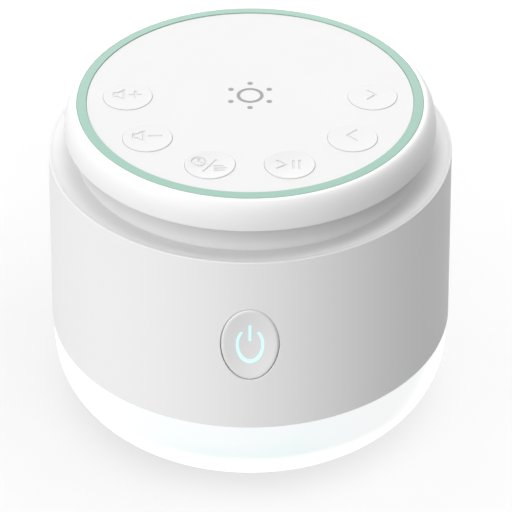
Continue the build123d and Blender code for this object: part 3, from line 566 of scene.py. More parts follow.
@dataclass(frozen=True)
class Ink:
    """Screen-printed ink with a slight weave of the screen in it."""

    colour: Colour
    thin: Colour
    weave_size: float = 0.12
    weave_depth: float = 0.002
    spread_size: float = 1.6
    roughness: float = 0.5

    def dress(self, name: str) -> bpy.types.Material:
        """Write the material.

        Args:
            name: Name of the material.

        Returns:
            The material.
        """
        at = Surface(name)
        weave = at.cloud(self.weave_size, 1.0)
        spread = at.cloud(self.spread_size)
        return at.close(
            {
                "Base Color": at.tint(spread.above(0.4, 0.75), self.colour, self.thin),
                "Roughness": self.roughness + (weave - 0.5) * 0.15,
                "Normal": at.relief(weave, self.weave_depth),
            }
        )


@dataclass(frozen=True)
class Rubber:
    """Soft rubber with a matt, slightly dusty skin."""

    colour: Colour
    dust: Colour
    skin_size: float = 0.5
    skin_depth: float = 0.012
    dust_size: float = 6.0
    dust_share: float = 0.35
    roughness: float = 0.72

    def dress(self, name: str) -> bpy.types.Material:
        """Write the material.

        Args:
            name: Name of the material.

        Returns:
            The material.
        """
        at = Surface(name)
        skin = at.cloud(self.skin_size, 3.0)
        dusty = at.cloud(self.dust_size, 3.0).above(0.45, 0.75)
        return at.close(
            {
                "Base Color": at.tint(dusty * self.dust_share, self.colour, self.dust),
                "Roughness": self.roughness + (skin - 0.5) * 0.15,
                "Normal": at.relief(skin, self.skin_depth),
            }
        )


@dataclass(frozen=True)
class Metal:
    """Sheet or turned metal, brushed one way."""

    colour: Colour
    worn: Colour
    roughness: float = 0.32
    metallic: float = 1.0
    brush: tuple[float, float, float] = (1.0, 1.0, 14.0)
    line_size: float = 1.2
    line_depth: float = 0.006
    stain_size: float = 5.0
    stain_share: float = 0.4

    def dress(self, name: str) -> bpy.types.Material:
        """Write the material.

        Args:
            name: Name of the material.

        Returns:
            The material.
        """
        at = Surface(name)
        lines = at.cloud(self.line_size, 3.0, at.stretched(*self.brush))
        stain = at.cloud(self.stain_size).above(0.4, 0.7)
        return at.close(
            {
                "Base Color": at.tint(stain * self.stain_share, self.colour, self.worn),
                "Metallic": self.metallic,
                "Roughness": self.roughness + (lines - 0.5) * 0.2,
                "Normal": at.relief(lines, self.line_depth),
            }
        )


@dataclass(frozen=True)
class SolderMask:
    """Circuit board: lacquer over the copper, with lighter tracks showing through."""

    colour: Colour
    track: Colour
    lane_scale: float = 95.0
    lane_bend: float = 6.0
    field_size: float = 9.0
    track_depth: float = 0.03
    lacquer_size: float = 1.0
    lacquer_weight: float = 0.4
    roughness: float = 0.28

    def dress(self, name: str) -> bpy.types.Material:
        """Write the material.

        Args:
            name: Name of the material.

        Returns:
            The material.
        """
        at = Surface(name)
        lanes = at.add(
            "ShaderNodeTexWave",
            {"wave_type": "BANDS", "bands_direction": "DIAGONAL"},
            {
                "Vector": at.place,
                "Scale": self.lane_scale,
                "Distortion": self.lane_bend,
                "Detail": 1.0,
            },
            out="Fac",
        )
        fields = at.cloud(self.field_size, 0.0).above(0.45, 0.55)
        tracks = lanes.above(0.72, 0.8) * fields
        lacquer = at.cloud(self.lacquer_size)
        return at.close(
            {
                "Base Color": at.tint(tracks, self.colour, self.track),
                "Roughness": self.roughness + (lacquer - 0.5) * 0.12,
                "Coat Weight": self.lacquer_weight,
                "Normal": at.relief(tracks, self.track_depth),
            }
        )


@dataclass(frozen=True)
class Fibre:
    """Cloth, foam or pressed pulp, told apart by the size and depth of its fibres."""

    colour: Colour
    shade: Colour
    size: float
    depth: float
    roughness: float = 0.85

    def dress(self, name: str) -> bpy.types.Material:
        """Write the material.

        Args:
            name: Name of the material.

        Returns:
            The material.
        """
        at = Surface(name)
        strands = at.add(
            "ShaderNodeTexVoronoi",
            {"feature": "F1"},
            {"Vector": at.place, "Scale": 1 / (self.size * MM)},
            out="Distance",
        )
        fuzz = at.cloud(self.size * 3, 3.0)
        mixed = strands.above(0.1, 0.8) * 0.6 + fuzz * 0.4
        return at.close(
            {
                "Base Color": at.tint(mixed, self.colour, self.shade),
                "Roughness": self.roughness + (fuzz - 0.5) * 0.1,
                "Normal": at.relief(mixed, self.depth),
            }
        )


Finish = (
    MouldedPlastic
    | PaintedShadePlastic
    | FrostedBowl
    | LitSign
    | Ink
    | Rubber
    | Metal
    | SolderMask
    | Fibre
)

FINISHES: dict[str, Finish] = {
    # painted shade: the panel and keys wear a darker copy of the white (about 0.5, the cap, button
    # and body about 0.65), which dims their lit tops
    "panel_white": MouldedPlastic((0.505, 0.505, 0.505), (0.499, 0.5, 0.499), 0.46, 0.3, 0.002),
    "key_white": MouldedPlastic((0.495, 0.495, 0.495), (0.491, 0.491, 0.491), 0.38, 0.25, 0.002),
    "cap_white": MouldedPlastic((0.65, 0.65, 0.65), (0.645, 0.645, 0.645), 0.40, 0.35, 0.002),
    "accent_mint": MouldedPlastic((0.193, 0.34, 0.276), (0.19, 0.335, 0.272), 0.45, 0.3, 0.002),
    # painted shade: the top face of the rim lip, above z 74.08, is darker (0.58 against 0.667) to
    # dim the light on it
    "body_white": PaintedShadePlastic(
        (0.667, 0.667, 0.667), (0.66, 0.66, 0.66), (0.58, 0.58, 0.58), 49.0, 48.0, 74.08, 74.2
    ),
    # painted shade: the shoulder darkens from its rim towards the neck, and the neck wall is darker
    # still above z 73.2, under the cap's overhang
    "neck_white": PaintedShadePlastic(
        (0.73, 0.73, 0.73), (0.605, 0.605, 0.605), (0.5, 0.5, 0.5), 48.8, 44.6, 73.2, 76.5
    ),
    "button_white": MouldedPlastic((0.655, 0.655, 0.655), (0.645, 0.645, 0.645), 0.34, 0.25, 0.002),
    "inner_white": MouldedPlastic((0.62, 0.62, 0.61), (0.58, 0.58, 0.57), 0.5, 0.5, 0.006),
    "grille_white": MouldedPlastic((0.55, 0.55, 0.55), (0.52, 0.52, 0.52), 0.5, 0.4, 0.006),
    "icon_glow": LitSign(
        (0.14, 0.22, 0.22), (0.12, 0.2, 0.2), (0.61, 0.93, 0.92), (0.69, 0.94, 0.93), 0.85
    ),
    # painted shade: the band and teal tones are the darker band on the front below the sleeve
    "diffuser_glow": FrostedBowl(
        (0.16, 0.165, 0.165), (1.0, 1.0, 1.0), (0.84, 0.85, 0.855), (0.745, 0.84, 0.83), 0.9
    ),
    "foot_rubber": Rubber((0.045, 0.045, 0.047), (0.2, 0.2, 0.2)),
    "surround_rubber": Rubber((0.02, 0.02, 0.021), (0.12, 0.12, 0.12)),
    "switch_black": MouldedPlastic((0.02, 0.02, 0.02), (0.03, 0.03, 0.03), 0.5, 0.3, 0.004),
    "board_green": SolderMask((0.01, 0.09, 0.045), (0.04, 0.2, 0.1)),
    "connector_ivory": MouldedPlastic((0.6, 0.57, 0.48), (0.56, 0.52, 0.42), 0.45, 0.4, 0.005),
    "capacitor_sleeve": Metal((0.3, 0.31, 0.33), (0.2, 0.2, 0.22), 0.35, 0.8),
    "pad_copper": Metal((0.75, 0.42, 0.25), (0.5, 0.25, 0.15), 0.3, 1.0, (14.0, 1.0, 1.0)),
    "foam_grey": Fibre((0.2, 0.2, 0.2), (0.05, 0.05, 0.05), 0.4, 0.08),
    "socket_steel": Metal((0.6, 0.6, 0.6), (0.45, 0.45, 0.46), 0.28, 1.0, (1.0, 12.0, 1.0)),
    "screw_steel": Metal((0.5, 0.5, 0.5), (0.35, 0.33, 0.3), 0.35, 1.0, (1.0, 1.0, 9.0)),
    "basket_steel": Metal((0.03, 0.03, 0.03), (0.05, 0.05, 0.05), 0.4, 0.2),
    "magnet_grey": Fibre((0.08, 0.08, 0.08), (0.05, 0.05, 0.052), 0.25, 0.01),
    "cone_black": Fibre((0.035, 0.035, 0.035), (0.015, 0.015, 0.015), 0.3, 0.03),
    "spider_cloth": Fibre((0.6, 0.36, 0.1), (0.35, 0.2, 0.05), 0.35, 0.06),
    "lamp_yellow": Fibre((0.9, 0.8, 0.35), (0.85, 0.72, 0.25), 0.2, 0.01),
    "reflector_white": MouldedPlastic((0.8, 0.8, 0.8), (0.78, 0.78, 0.78), 0.3, 0.4, 0.003),
    "sign_ink": Ink((0.19, 0.19, 0.19), (0.205, 0.205, 0.205)),
}


class Paintbox:
    """Every finish as a Blender material, written once."""

    def __init__(self) -> None:
        """Write all the materials."""
        self.materials = {name: finish.dress(name) for name, finish in FINISHES.items()}

    def coat(self, piece: bpy.types.Object, name: str) -> None:
        """Give a piece one finish.

        Args:
            piece: What is dressed.
            name: The finish.
        """
        piece.data.materials.clear()
        piece.data.materials.append(self.materials[name])

    def coat_frame(
        self, record: Mapping[str, object], nodes: Mapping[str, object]
    ) -> dict[str, str]:
        """Dress every CAD node with the finish of its slot in the record.

        Args:
            record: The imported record.
            nodes: The CAD nodes by name.

        Returns:
            The finish of each node.
        """
        worn = {row["node"]: row["material_slot"] for row in record["subparts"]}
        # the shoulder and neck wear the white with painted shade under the cap
        worn["shoulder_housing"] = "neck_white"
        for name, node in nodes.items():
            if not node.material_slots:
                node.data.materials.append(None)
            for slot in node.material_slots:
                slot.material = self.materials[worn[name]]
        return worn


# ---------------------------------------------------------------- mesh work
def set_right(mesh: bpy.types.Mesh) -> None:
    """Merge doubles, point the faces outwards and smooth all but the sharp edges.

    Args:
        mesh: The mesh to set right.
    """
    work = bmesh.new()
    work.from_mesh(mesh)
    bmesh.ops.remove_doubles(work, verts=work.verts, dist=1e-7)
    bmesh.ops.recalc_face_normals(work, faces=work.faces)
    work.to_mesh(mesh)
    work.free()
    mesh.shade_smooth()
    mesh.set_sharp_from_angle(angle=SHARP_ANGLE)
    mesh.update()


def smooth_step(value: Numbers) -> Numbers:
    """Step from 0 to 1 with soft ends."""
    share = np.clip(value, 0.0, 1.0)
    return share * share * (3.0 - 2.0 * share)


@dataclass(frozen=True)
class Corner:
    """A corner of a turned outline: radius, height and rounding."""

    r: float
    z: float
    rounding: float = 0.0

    @property
    def place(self) -> Numbers:
        """The corner as a pair of numbers."""
        return np.array((self.r, self.z))


def rounded(corners: Sequence[Corner]) -> Numbers:
    """Round the corners of a closed outline.

    Args:
        corners: The corners, in order.

    Returns:
        Rows of radius and height.
    """
    rows: list[Numbers] = []
    for number, corner in enumerate(corners):
        here = corner.place
        if corner.rounding == 0:
            rows.append(here)
            continue
        back = corners[number - 1].place - here
        ahead = corners[(number + 1) % len(corners)].place - here
        back_length, ahead_length = np.linalg.norm(back), np.linalg.norm(ahead)
        back, ahead = back / back_length, ahead / ahead_length
        half = math.acos(float(np.clip(back @ ahead, -1, 1))) / 2
        reach = corner.rounding / math.tan(half)
        middle = here + (back + ahead) / np.linalg.norm(back + ahead) * (
            corner.rounding / math.sin(half)
        )
        first, last = here + back * reach - middle, here + ahead * reach - middle
        sweep = math.pi - 2 * half
        if back_length > 2 * reach + 2 * SUPPORT:
            rows.append(here + back * (reach + SUPPORT))
        for share in np.linspace(0, 1, ROUNDING_STEPS + 1):
            before = math.sin((1 - share) * sweep) * first
            after = math.sin(share * sweep) * last
            rows.append(middle + (before + after) / math.sin(sweep))
        if ahead_length > 2 * reach + 2 * SUPPORT:
            rows.append(here + ahead * (reach + SUPPORT))
    return np.array(rows)


def circle(count: int, start: float = 0.0) -> Numbers:
    """Angles spread evenly round a circle, in radians."""
    return math.radians(start) + np.arange(count) * (2 * math.pi / count)


class Draft:
    """Points and faces of a piece in the making, in millimetres."""

    def __init__(self) -> None:
        """Start empty."""
        self.blocks: list[Numbers] = []
        self.count = 0
        self.faces: list[tuple[int, ...]] = []

    def row(self, points: Numbers) -> Numbers:
        """Add points.

        Args:
            points: Rows of x, y and z.

        Returns:
            Their numbers.
        """
        points = np.atleast_2d(points)
        self.blocks.append(points)
        self.count += len(points)
        return np.arange(self.count - len(points), self.count)

    def bridge(self, low: Numbers, high: Numbers) -> None:
        """Join two closed rings of equal length, or a ring and one point.

        Args:
            low: Numbers of the first ring.
            high: Numbers of the second.
        """
        if len(low) == 1 or len(high) == 1:
            ring, tip = (high, low) if len(low) == 1 else (low, high)
            after = np.roll(ring, -1)
            self.faces += [(int(a), int(b), int(tip[0])) for a, b in zip(ring, after)]
            return
        rows = zip(low, np.roll(low, -1), np.roll(high, -1), high)
        self.faces += [tuple(int(n) for n in row) for row in rows]

    def chain(self, rings: Sequence[Numbers], closed: bool = False) -> None:
        """Bridge each ring to the next.

        Args:
            rings: Numbers of the rings.
            closed: Whether the last ring meets the first.
        """
        for low, high in zip(rings, rings[1:]):
            self.bridge(low, high)
        if closed:
            self.bridge(rings[-1], rings[0])

    def turn(
        self, outline: Numbers, angles: Numbers, centre: tuple[float, float] = (0.0, 0.0)
    ) -> list[Numbers]:
        """Add one ring of points for each row of a turned outline.

        Args:
            outline: Rows of radius and height.
            angles: Angles of the columns, in radians.
            centre: Place of the axis.

        Returns:
            The rings' numbers; a row on the axis has one point.
        """
        rings = []
        for radius, height in outline:
            if radius < 1e-6:
                rings.append(self.row(np.array([(*centre, height)])))
                continue
            rings.append(
                self.row(
                    np.column_stack(
                        (
                            centre[0] + radius * np.cos(angles),
                            centre[1] + radius * np.sin(angles),
                            np.full(len(angles), height),
                        )
                    )
                )
            )
        return rings

    def fill(self, loops: Sequence[Numbers]) -> None:
        """Fill a flat face that has holes.

        Args:
            loops: Numbers of the outer loop and of each hole.
        """
        points = np.vstack(self.blocks)
        work = bmesh.new()
        owner: dict[bmesh.types.BMVert, int] = {}
        edges = []
        for loop in loops:
            verts = [work.verts.new(points[n]) for n in loop]
            owner.update(zip(verts, (int(n) for n in loop)))
            edges += [work.edges.new(pair) for pair in zip(verts, verts[1:] + verts[:1])]
        bmesh.ops.triangle_fill(work, edges=edges, use_beauty=True, normal=(0, 0, 1))
        self.faces += [tuple(owner[v] for v in face.verts) for face in work.faces]
        work.free()

    def weave(
        self,
        lines: Sequence[Numbers],
        loops: Sequence[Numbers],
        seeds: Numbers | None = None,
        seed_row: Numbers | None = None,
    ) -> None:
        """Fill a gently curved face that may have holes.

        Args:
            lines: Flat outlines, the outer one first.
            loops: Numbers of their points.
            seeds: Flat places of more points in the face.
            seed_row: Numbers of those points.
        """
        flat = list(lines) if seeds is None else [*lines, seeds]
        rows = list(loops) if seed_row is None else [*loops, seed_row]
        edges, start = [], 0
        for line in lines:
            spots = list(range(start, start + len(line)))
            edges += list(zip(spots, spots[1:] + spots[:1]))
            start += len(line)
        places, _, faces, origins, _, _ = delaunay_2d_cdt(
            [Vector(p) for p in np.vstack(flat)], edges, [], 1, 1e-6
        )
        owner = np.concatenate(rows)
        spots = np.array([tuple(p) for p in places])
        middles = spots[np.array(faces)].mean(axis=1)
        kept = np.zeros(len(faces), dtype=bool)
        for line in lines:
            after = np.roll(line, -1, axis=0)
            for (x0, z0), (x1, z1) in zip(line, after):
                if z0 == z1:
                    continue
                spans = (z0 > middles[:, 1]) != (z1 > middles[:, 1])
                crossing = x0 + (middles[:, 1] - z0) * (x1 - x0) / (z1 - z0)
                kept ^= spans & (middles[:, 0] < crossing)
        self.faces += [
            tuple(int(owner[origins[n][0]]) for n in face)
            for face, inside in zip(faces, kept)
            if inside
        ]

    def piece(self, name: str) -> bpy.types.Object:
        """Turn the draft into an object at the origin.

        Args:
            name: Name of the piece.

        Returns:
            The piece, linked to the scene.
        """
        mesh = bpy.data.meshes.new(name)
        mesh.from_pydata((np.vstack(self.blocks) * MM).tolist(), [], self.faces)
        set_right(mesh)
        made = bpy.data.objects.new(name, mesh)
        bpy.context.scene.collection.objects.link(made)
        return made


@dataclass(frozen=True)
class Oval:
    """Upright oval outline."""

    half_width: float
    half_height: float

    def outline(self, angles: Numbers, grow: float = 0.0) -> Numbers:
        """Points of the outline, moved outwards.

        Args:
            angles: Where on the outline, in radians.
            grow: How far the points lie outside it.

        Returns:
            Rows of x and z from the middle.
        """
        across, up = np.cos(angles), np.sin(angles)
        normal = np.column_stack((across / self.half_width, up / self.half_height))
        normal /= np.linalg.norm(normal, axis=1)[:, None]
        line = np.column_stack((across * self.half_width, up * self.half_height))
        return line + grow * normal


@dataclass(frozen=True)
class Slot:
    """Lying slot outline with round ends."""

    width: float
    height: float

    def outline(self, angles: Numbers, grow: float = 0.0) -> Numbers:
        """Points of the outline, moved outwards.

        Args:
            angles: Where on the outline, in radians.
            grow: How far the points lie outside it.

        Returns:
            Rows of x and z from the middle.
        """
        end = (self.width - self.height) / 2
        radius = self.height / 2 + grow
        heading = np.arctan2(np.sin(angles) * self.height, np.cos(angles) * self.width)
        across, up = np.cos(heading), np.sin(heading)
        on_flat = radius * across / np.maximum(np.abs(up), 1e-9)
        reach = end * np.abs(across) + np.sqrt(np.maximum(radius**2 - (end * up) ** 2, 0))
        flat = np.abs(on_flat) <= end
        x = np.where(flat, on_flat, reach * across)
        z = np.where(flat, radius * np.sign(up), reach * up)
        return np.column_stack((x, z))


class SubAssembly:
    """What the sub-assemblies share: paint, and the seating of a piece on its body."""

    paint: Paintbox

    def seat(
        self,
        piece: bpy.types.Object,
        body: str,
        slot: str,
        nodes: Sequence[str] = (),
        finish: str = "",
    ) -> bpy.types.Object:
        """Dress a piece and let it ride.

        Args:
            piece: The finished piece.
            body: CAD body that it moves with.
            slot: Material slot of the record.
            nodes: CAD nodes that it stands for.
            finish: Finish of the piece, if it isn't its slot's.

        Returns:
            The piece.
        """
        self.paint.coat(piece, finish or slot)
        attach(piece, body)
        if nodes:
            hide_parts(*nodes)
        return piece


# ---------------------------------------------------------------- body sleeve
@dataclass
class BodySleeve(SubAssembly):
    """Tapered wall with the oval button hole in front and the inlet's pocket behind."""

    paint: Paintbox
    base_r: float = 50.975
    rim_r: float = 50.0
    bottom_z: float = 25.1
    rim_z: float = 74.25
    wall: float = 2.0
    rim_lip: float = 0.94
    rim_fall: float = 0.095
    rim_seat: float = 2.0
    ledge_width: float = 1.4
    ledge_top_z: float = 31.8
    ledge_z: float = 30.6
    edge: float = 0.22
    hole: Oval = Oval(7.15, 10.52)
    hole_z: float = 50.2
    hole_edge: float = 0.12
    pocket: Slot = Slot(13.24, 7.56)
    pocket_floor: float = 49.549
    passage: Slot = Slot(9.44, 3.76)
    port_z: float = 37.43
    low_row_z: float = 32.3
    high_row_z: float = 63.7
    row_count: int = 49
    rounding_rings: int = 6
    pocket_edge: float = 0.2
    button_window_z: tuple[float, float] = (38.1, 62.4)
    port_window_top_z: float = 42.8
    window_shares: tuple[float, ...] = (0.3, 0.58, 0.8, 0.93, 1.0)
    window_half: float = 11.25
    window_columns: int = 32
    side_columns: int = 112

    def outer(self, z: Numbers | float) -> Numbers | float:
        """Outer radius at a height."""
        slope = (self.base_r - self.rim_r) / (self.rim_z - self.bottom_z)
        return self.base_r - slope * (z - self.bottom_z)

    def inner(self, z: Numbers | float) -> Numbers | float:
        """Inner radius at a height."""
        return self.outer(z) - self.wall

    def columns(self) -> Numbers:
        """Spread the columns, closer together across the two openings.

        Returns:
            Their angles, in radians.
        """
        half = math.radians(self.window_half)
        front, rear = -math.pi / 2, math.pi / 2
        spans = (
            (front - half, front + half, self.window_columns),
            (front + half, rear - half, self.side_columns),
            (rear - half, rear + half, self.window_columns),
            (rear + half, front - half + 2 * math.pi, self.side_columns),
        )
        return np.concatenate([np.linspace(a, b, n, endpoint=False) for a, b, n in spans])

    def build(self) -> bpy.types.Object:
        """Make the wall and cut its two openings.

        Returns:
            The sleeve.
        """
        draft = Draft()
        angles = self.columns()
        heights = np.linspace(self.low_row_z, self.high_row_z, self.row_count)
        head = rounded(
            [
                Corner(self.inner(self.rim_z - self.rim_seat), self.rim_z - self.rim_seat),
                Corner(self.rim_r - self.rim_lip, self.rim_z - self.rim_seat),
                Corner(self.rim_r - self.rim_lip, self.rim_z - self.rim_fall),
                Corner(self.rim_r, self.rim_z, self.edge),
                Corner(self.outer(self.high_row_z), self.high_row_z),
            ]
        )[:-1]
        foot = rounded(
            [
                Corner(self.outer(self.low_row_z), self.low_row_z),
                Corner(self.base_r, self.bottom_z, self.edge),
                Corner(self.inner(self.bottom_z), self.bottom_z),
                Corner(self.inner(self.ledge_z), self.ledge_z),
                Corner(self.inner(self.ledge_z) - self.ledge_width, self.ledge_z),
                Corner(self.inner(self.ledge_z) - self.ledge_width, self.ledge_top_z),
                Corner(self.inner(self.ledge_top_z), self.ledge_top_z),
            ]
        )[1:]
        outside = np.column_stack((self.outer(heights), heights))
        inside = np.column_stack((self.inner(heights), heights))
        outline = np.vstack((inside, head, outside[::-1], foot))
        rings = draft.turn(outline, angles)
        inner_rows = rings[: len(heights)]
        outer_rows = rings[len(heights) + len(head) :][: len(heights)][::-1]
        front = (0, self.window_columns)
        rear_start = self.window_columns + self.side_columns
        rear = (rear_start, rear_start + self.window_columns)
        low_z, high_z = self.button_window_z
        button_rows = (self._row(heights, low_z), self._row(heights, high_z))
        port_rows = (0, self._row(heights, self.port_window_top_z))
        for rows in (inner_rows, outer_rows):
            self._wall(draft, rows, ((front, button_rows), (rear, port_rows)))
        rest = [inner_rows[-1], *rings[len(heights) : len(heights) + len(head)], outer_rows[-1]]
        draft.chain(rest)
        draft.chain([outer_rows[0], *rings[-len(foot) :], inner_rows[0]])
        self._cut_button_hole(draft, outer_rows, inner_rows, front, button_rows)
        self._cut_port(draft, outer_rows, inner_rows, rear, port_rows)
        return draft.piece("sleeve_wall")

    @staticmethod
    def _row(heights: Numbers, z: float) -> int:
        """Number of the row nearest to a height."""
        return int(np.argmin(np.abs(heights - z)))

    @staticmethod
    def _wall(
        draft: Draft, rows: Sequence[Numbers], windows: Sequence[tuple[Span, Span]]
    ) -> None:
        """Lay the quads of one side of the wall and leave the windows out.

        Args:
            draft: Where the faces go.
            rows: Numbers of the rows, upwards.
            windows: Pairs of first and last column, and of first and last row.
        """
        count = len(rows[0])
        for number, (low, high) in enumerate(zip(rows, rows[1:])):
            for column in range(count):
                if any(
                    c0 <= column < c1 and r0 <= number < r1 for (c0, c1), (r0, r1) in windows
                ):
                    continue
                after = (column + 1) % count
                corners = (low[column], low[after], high[after], high[column])
                draft.faces.append(tuple(int(n) for n in corners))

    @staticmethod
    def _frame(rows: Sequence[Numbers], columns: Span, span: Span) -> Numbers:
        """Walk round a window.

        Args:
            rows: Numbers of the wall's rows, upwards.
            columns: First and last column of the window.
            span: First and last row of the window.

        Returns:
            Numbers of the points on its border, in order.
        """
        (c0, c1), (r0, r1) = columns, span
        around = [rows[r0][c] for c in range(c0, c1 + 1)]
        around += [rows[r][c1] for r in range(r0 + 1, r1 + 1)]
        around += [rows[r1][c] for c in range(c1 - 1, c0 - 1, -1)]
        around += [rows[r][c0] for r in range(r1 - 1, r0, -1)]
        return np.array(around)

    def _lay(
        self, flat: Numbers, z: float, way: int, radius: RadiusAt, depth: float = 0.0
    ) -> Numbers:
        """Lay a flat outline on the round wall.

        Args:
            flat: Rows of x and of z from the opening's middle.
            z: Height of that middle.
            way: -1 in front and +1 behind.
            radius: Radius of the wall at a height.
            depth: How deep below the wall the points lie.

        Returns:
            Rows of x, y and z.
        """
        height = flat[:, 1] + z
        y = way * (np.sqrt(radius(height) ** 2 - flat[:, 0] ** 2) - depth)
        return np.column_stack((flat[:, 0], y, height))

    def _surround(
        self,
        draft: Draft,
        frame_row: Numbers,
        shape: Oval | Slot,
        z: float,
        way: int,
        radius: RadiusAt,
        grow: float,
    ) -> tuple[list[Numbers], Numbers]:
        """Fill the wall between a window's frame and the outline in it.

        Args:
            draft: Where the points go.
            frame_row: Numbers of the frame's points.
            shape: Outline of the opening.
            z: Height of its middle.
            way: -1 in front and +1 behind.
            radius: Radius of the wall at a height.
            grow: How far outside the outline the last ring lies.

        Returns:
            The rings from the frame inwards, and the angles of the outline's points.
        """
        points = np.vstack(draft.blocks)[frame_row]
        flat = np.column_stack((points[:, 0], points[:, 2] - z))
        low, high = flat.min(axis=0), flat.max(axis=0)
        unit = (flat - (low + high) / 2) / ((high - low) / 2)
        angles = np.arctan2(unit[:, 1], unit[:, 0])
        goal = shape.outline(angles, grow)
        rings = [frame_row]
        for share in self.window_shares:
            rings.append(
                draft.row(self._lay(flat + (goal - flat) * share, z, way, radius))
            )
        return rings, angles

    def _rounding(
        self, draft: Draft, shape: Oval | Slot, angles: Numbers, z: float, way: int, edge: float
    ) -> list[Numbers]:
        """Rings that round the outer edge of an opening.

        Args:
            draft: Where the points go.
            shape: Outline of the opening.
            angles: Angles of its points.
            z: Height of its middle.
            way: -1 in front and +1 behind.
            edge: Radius of the rounding.

        Returns:
            The rings, from the wall's face into the opening.
        """
        rings = []
        for share in np.linspace(0, 1, self.rounding_rings):
            lean = share * math.pi / 2
            flat = shape.outline(angles, edge * (1 - math.sin(lean)))
            depth = edge * (1 - math.cos(lean))
            rings.append(draft.row(self._lay(flat, z, way, self.outer, depth)))
        flat = shape.outline(angles)
        rings.append(draft.row(self._lay(flat, z, way, self.outer, edge + SUPPORT)))
        return rings

    def _cut_button_hole(
        self,
        draft: Draft,
        outer_rows: Sequence[Numbers],
        inner_rows: Sequence[Numbers],
        columns: Span,
        span: Span,
    ) -> None:
        """Cut the oval through the front.

        Args:
            draft: Where the points go.
            outer_rows: Rows of the outer side.
            inner_rows: Rows of the inner side.
            columns: First and last column of the window.
            span: First and last row of the window.
        """
        z, edge = self.hole_z, self.hole_edge
        around = self._frame(outer_rows, columns, span)
        rings, angles = self._surround(
            draft, around, self.hole, z, -1, self.outer, edge + SUPPORT
        )
        rings += self._rounding(draft, self.hole, angles, z, -1, edge)
        around = self._frame(inner_rows, columns, span)
        inside, _ = self._surround(draft, around, self.hole, z, -1, self.inner, 0.0)
        draft.chain([*rings, *inside[::-1]])

    def _cut_port(
        self,
        draft: Draft,
        outer_rows: Sequence[Numbers],
        inner_rows: Sequence[Numbers],
        columns: Span,
        span: Span,
    ) -> None:
        """Sink the inlet's pocket and cut its slot.

        Args:
            draft: Where the points go.
            outer_rows: Rows of the outer side.
            inner_rows: Rows of the inner side.
            columns: First and last column of the window.
            span: First and last row of the window.
        """
        z, edge = self.port_z, self.pocket_edge
        around = self._frame(outer_rows, columns, span)
        rings, angles = self._surround(
            draft, around, self.pocket, z, 1, self.outer, edge + SUPPORT
        )
        rings += self._rounding(draft, self.pocket, angles, z, 1, edge)
        for shape, grow in ((self.pocket, 0.0), (self.pocket, -SUPPORT), (self.passage, 0.0)):
            flat = shape.outline(angles, grow)
            floor = np.full(len(flat), self.pocket_floor)
            rings.append(draft.row(np.column_stack((flat[:, 0], floor, flat[:, 1] + z))))
        around = self._frame(inner_rows, columns, span)
        inside, _ = self._surround(draft, around, self.passage, z, 1, self.inner, 0.0)
        draft.chain([*rings, *inside[::-1]])

    def dress(self) -> list[bpy.types.Object]:
        """Build the sleeve and seat it."""
        return [self.seat(self.build(), "housing", "body_white", ["body_sleeve"])]


# ---------------------------------------------------------------- power button
@dataclass(frozen=True)
class PowerMark:
    """Outlines of the on/off sign: an arc that thickens at its foot, and a bar."""

    half_width: float = 3.065
    half_height: float = 4.8
    stroke: float = 0.7
    foot_swell: float = 0.4
    end_angle: float = 47.0
    bar_half: float = 2.5
    bar_width: float = 0.72
    bar_rise: float = 3.05
    lift: float = -0.42
    arc_steps: int = 120
    end_steps: int = 10

    def arc(self, grow: float) -> Numbers:
        """Outline of the arc, moved outwards.

        Args:
            grow: How far.

        Returns:
            Rows of x and z.
        """
        start = math.radians(self.end_angle)
        angles = np.linspace(start, -math.pi - start, self.arc_steps)
        across, up = np.cos(angles), np.sin(angles)
        middle = np.column_stack((self.half_width * across, self.half_height * up))
        normal = np.column_stack((across / self.half_width, up / self.half_height))
        normal /= np.linalg.norm(normal, axis=1)[:, None]
        swell = self.foot_swell * np.maximum(-up, 0) ** 2
        half = ((self.stroke + swell) / 2 + grow)[:, None]
        turns = np.linspace(0, math.pi, self.end_steps + 2)[1:-1, None]
        rounds = []
        for end, way in ((-1, 1), (0, -1)):
            along = way * np.array((normal[end, 1], -normal[end, 0]))
            out = normal[end] * (1 if end else -1)
            rounds.append(
                middle[end] + half[end] * (np.cos(turns) * out + np.sin(turns) * along)
            )
        outer, inner = middle + half * normal, middle - half * normal
        line = np.vstack((outer, rounds[0], inner[::-1], rounds[1]))
        return line + (0.0, self.lift)

    def bar(self, grow: float) -> Numbers:
        """Outline of the bar, moved outwards.

        Args:
            grow: How far.

        Returns:
            Rows of x and z.
        """
        radius = self.bar_width / 2 + grow
        reach = self.bar_half - self.bar_width / 2
        turns = np.linspace(0, math.pi, 2 * self.end_steps)[:, None]
        cap = radius * np.hstack((np.cos(turns), np.sin(turns)))
        line = np.vstack((cap + (0.0, reach), -cap - (0.0, reach)))
        return line + (0.0, self.bar_rise)


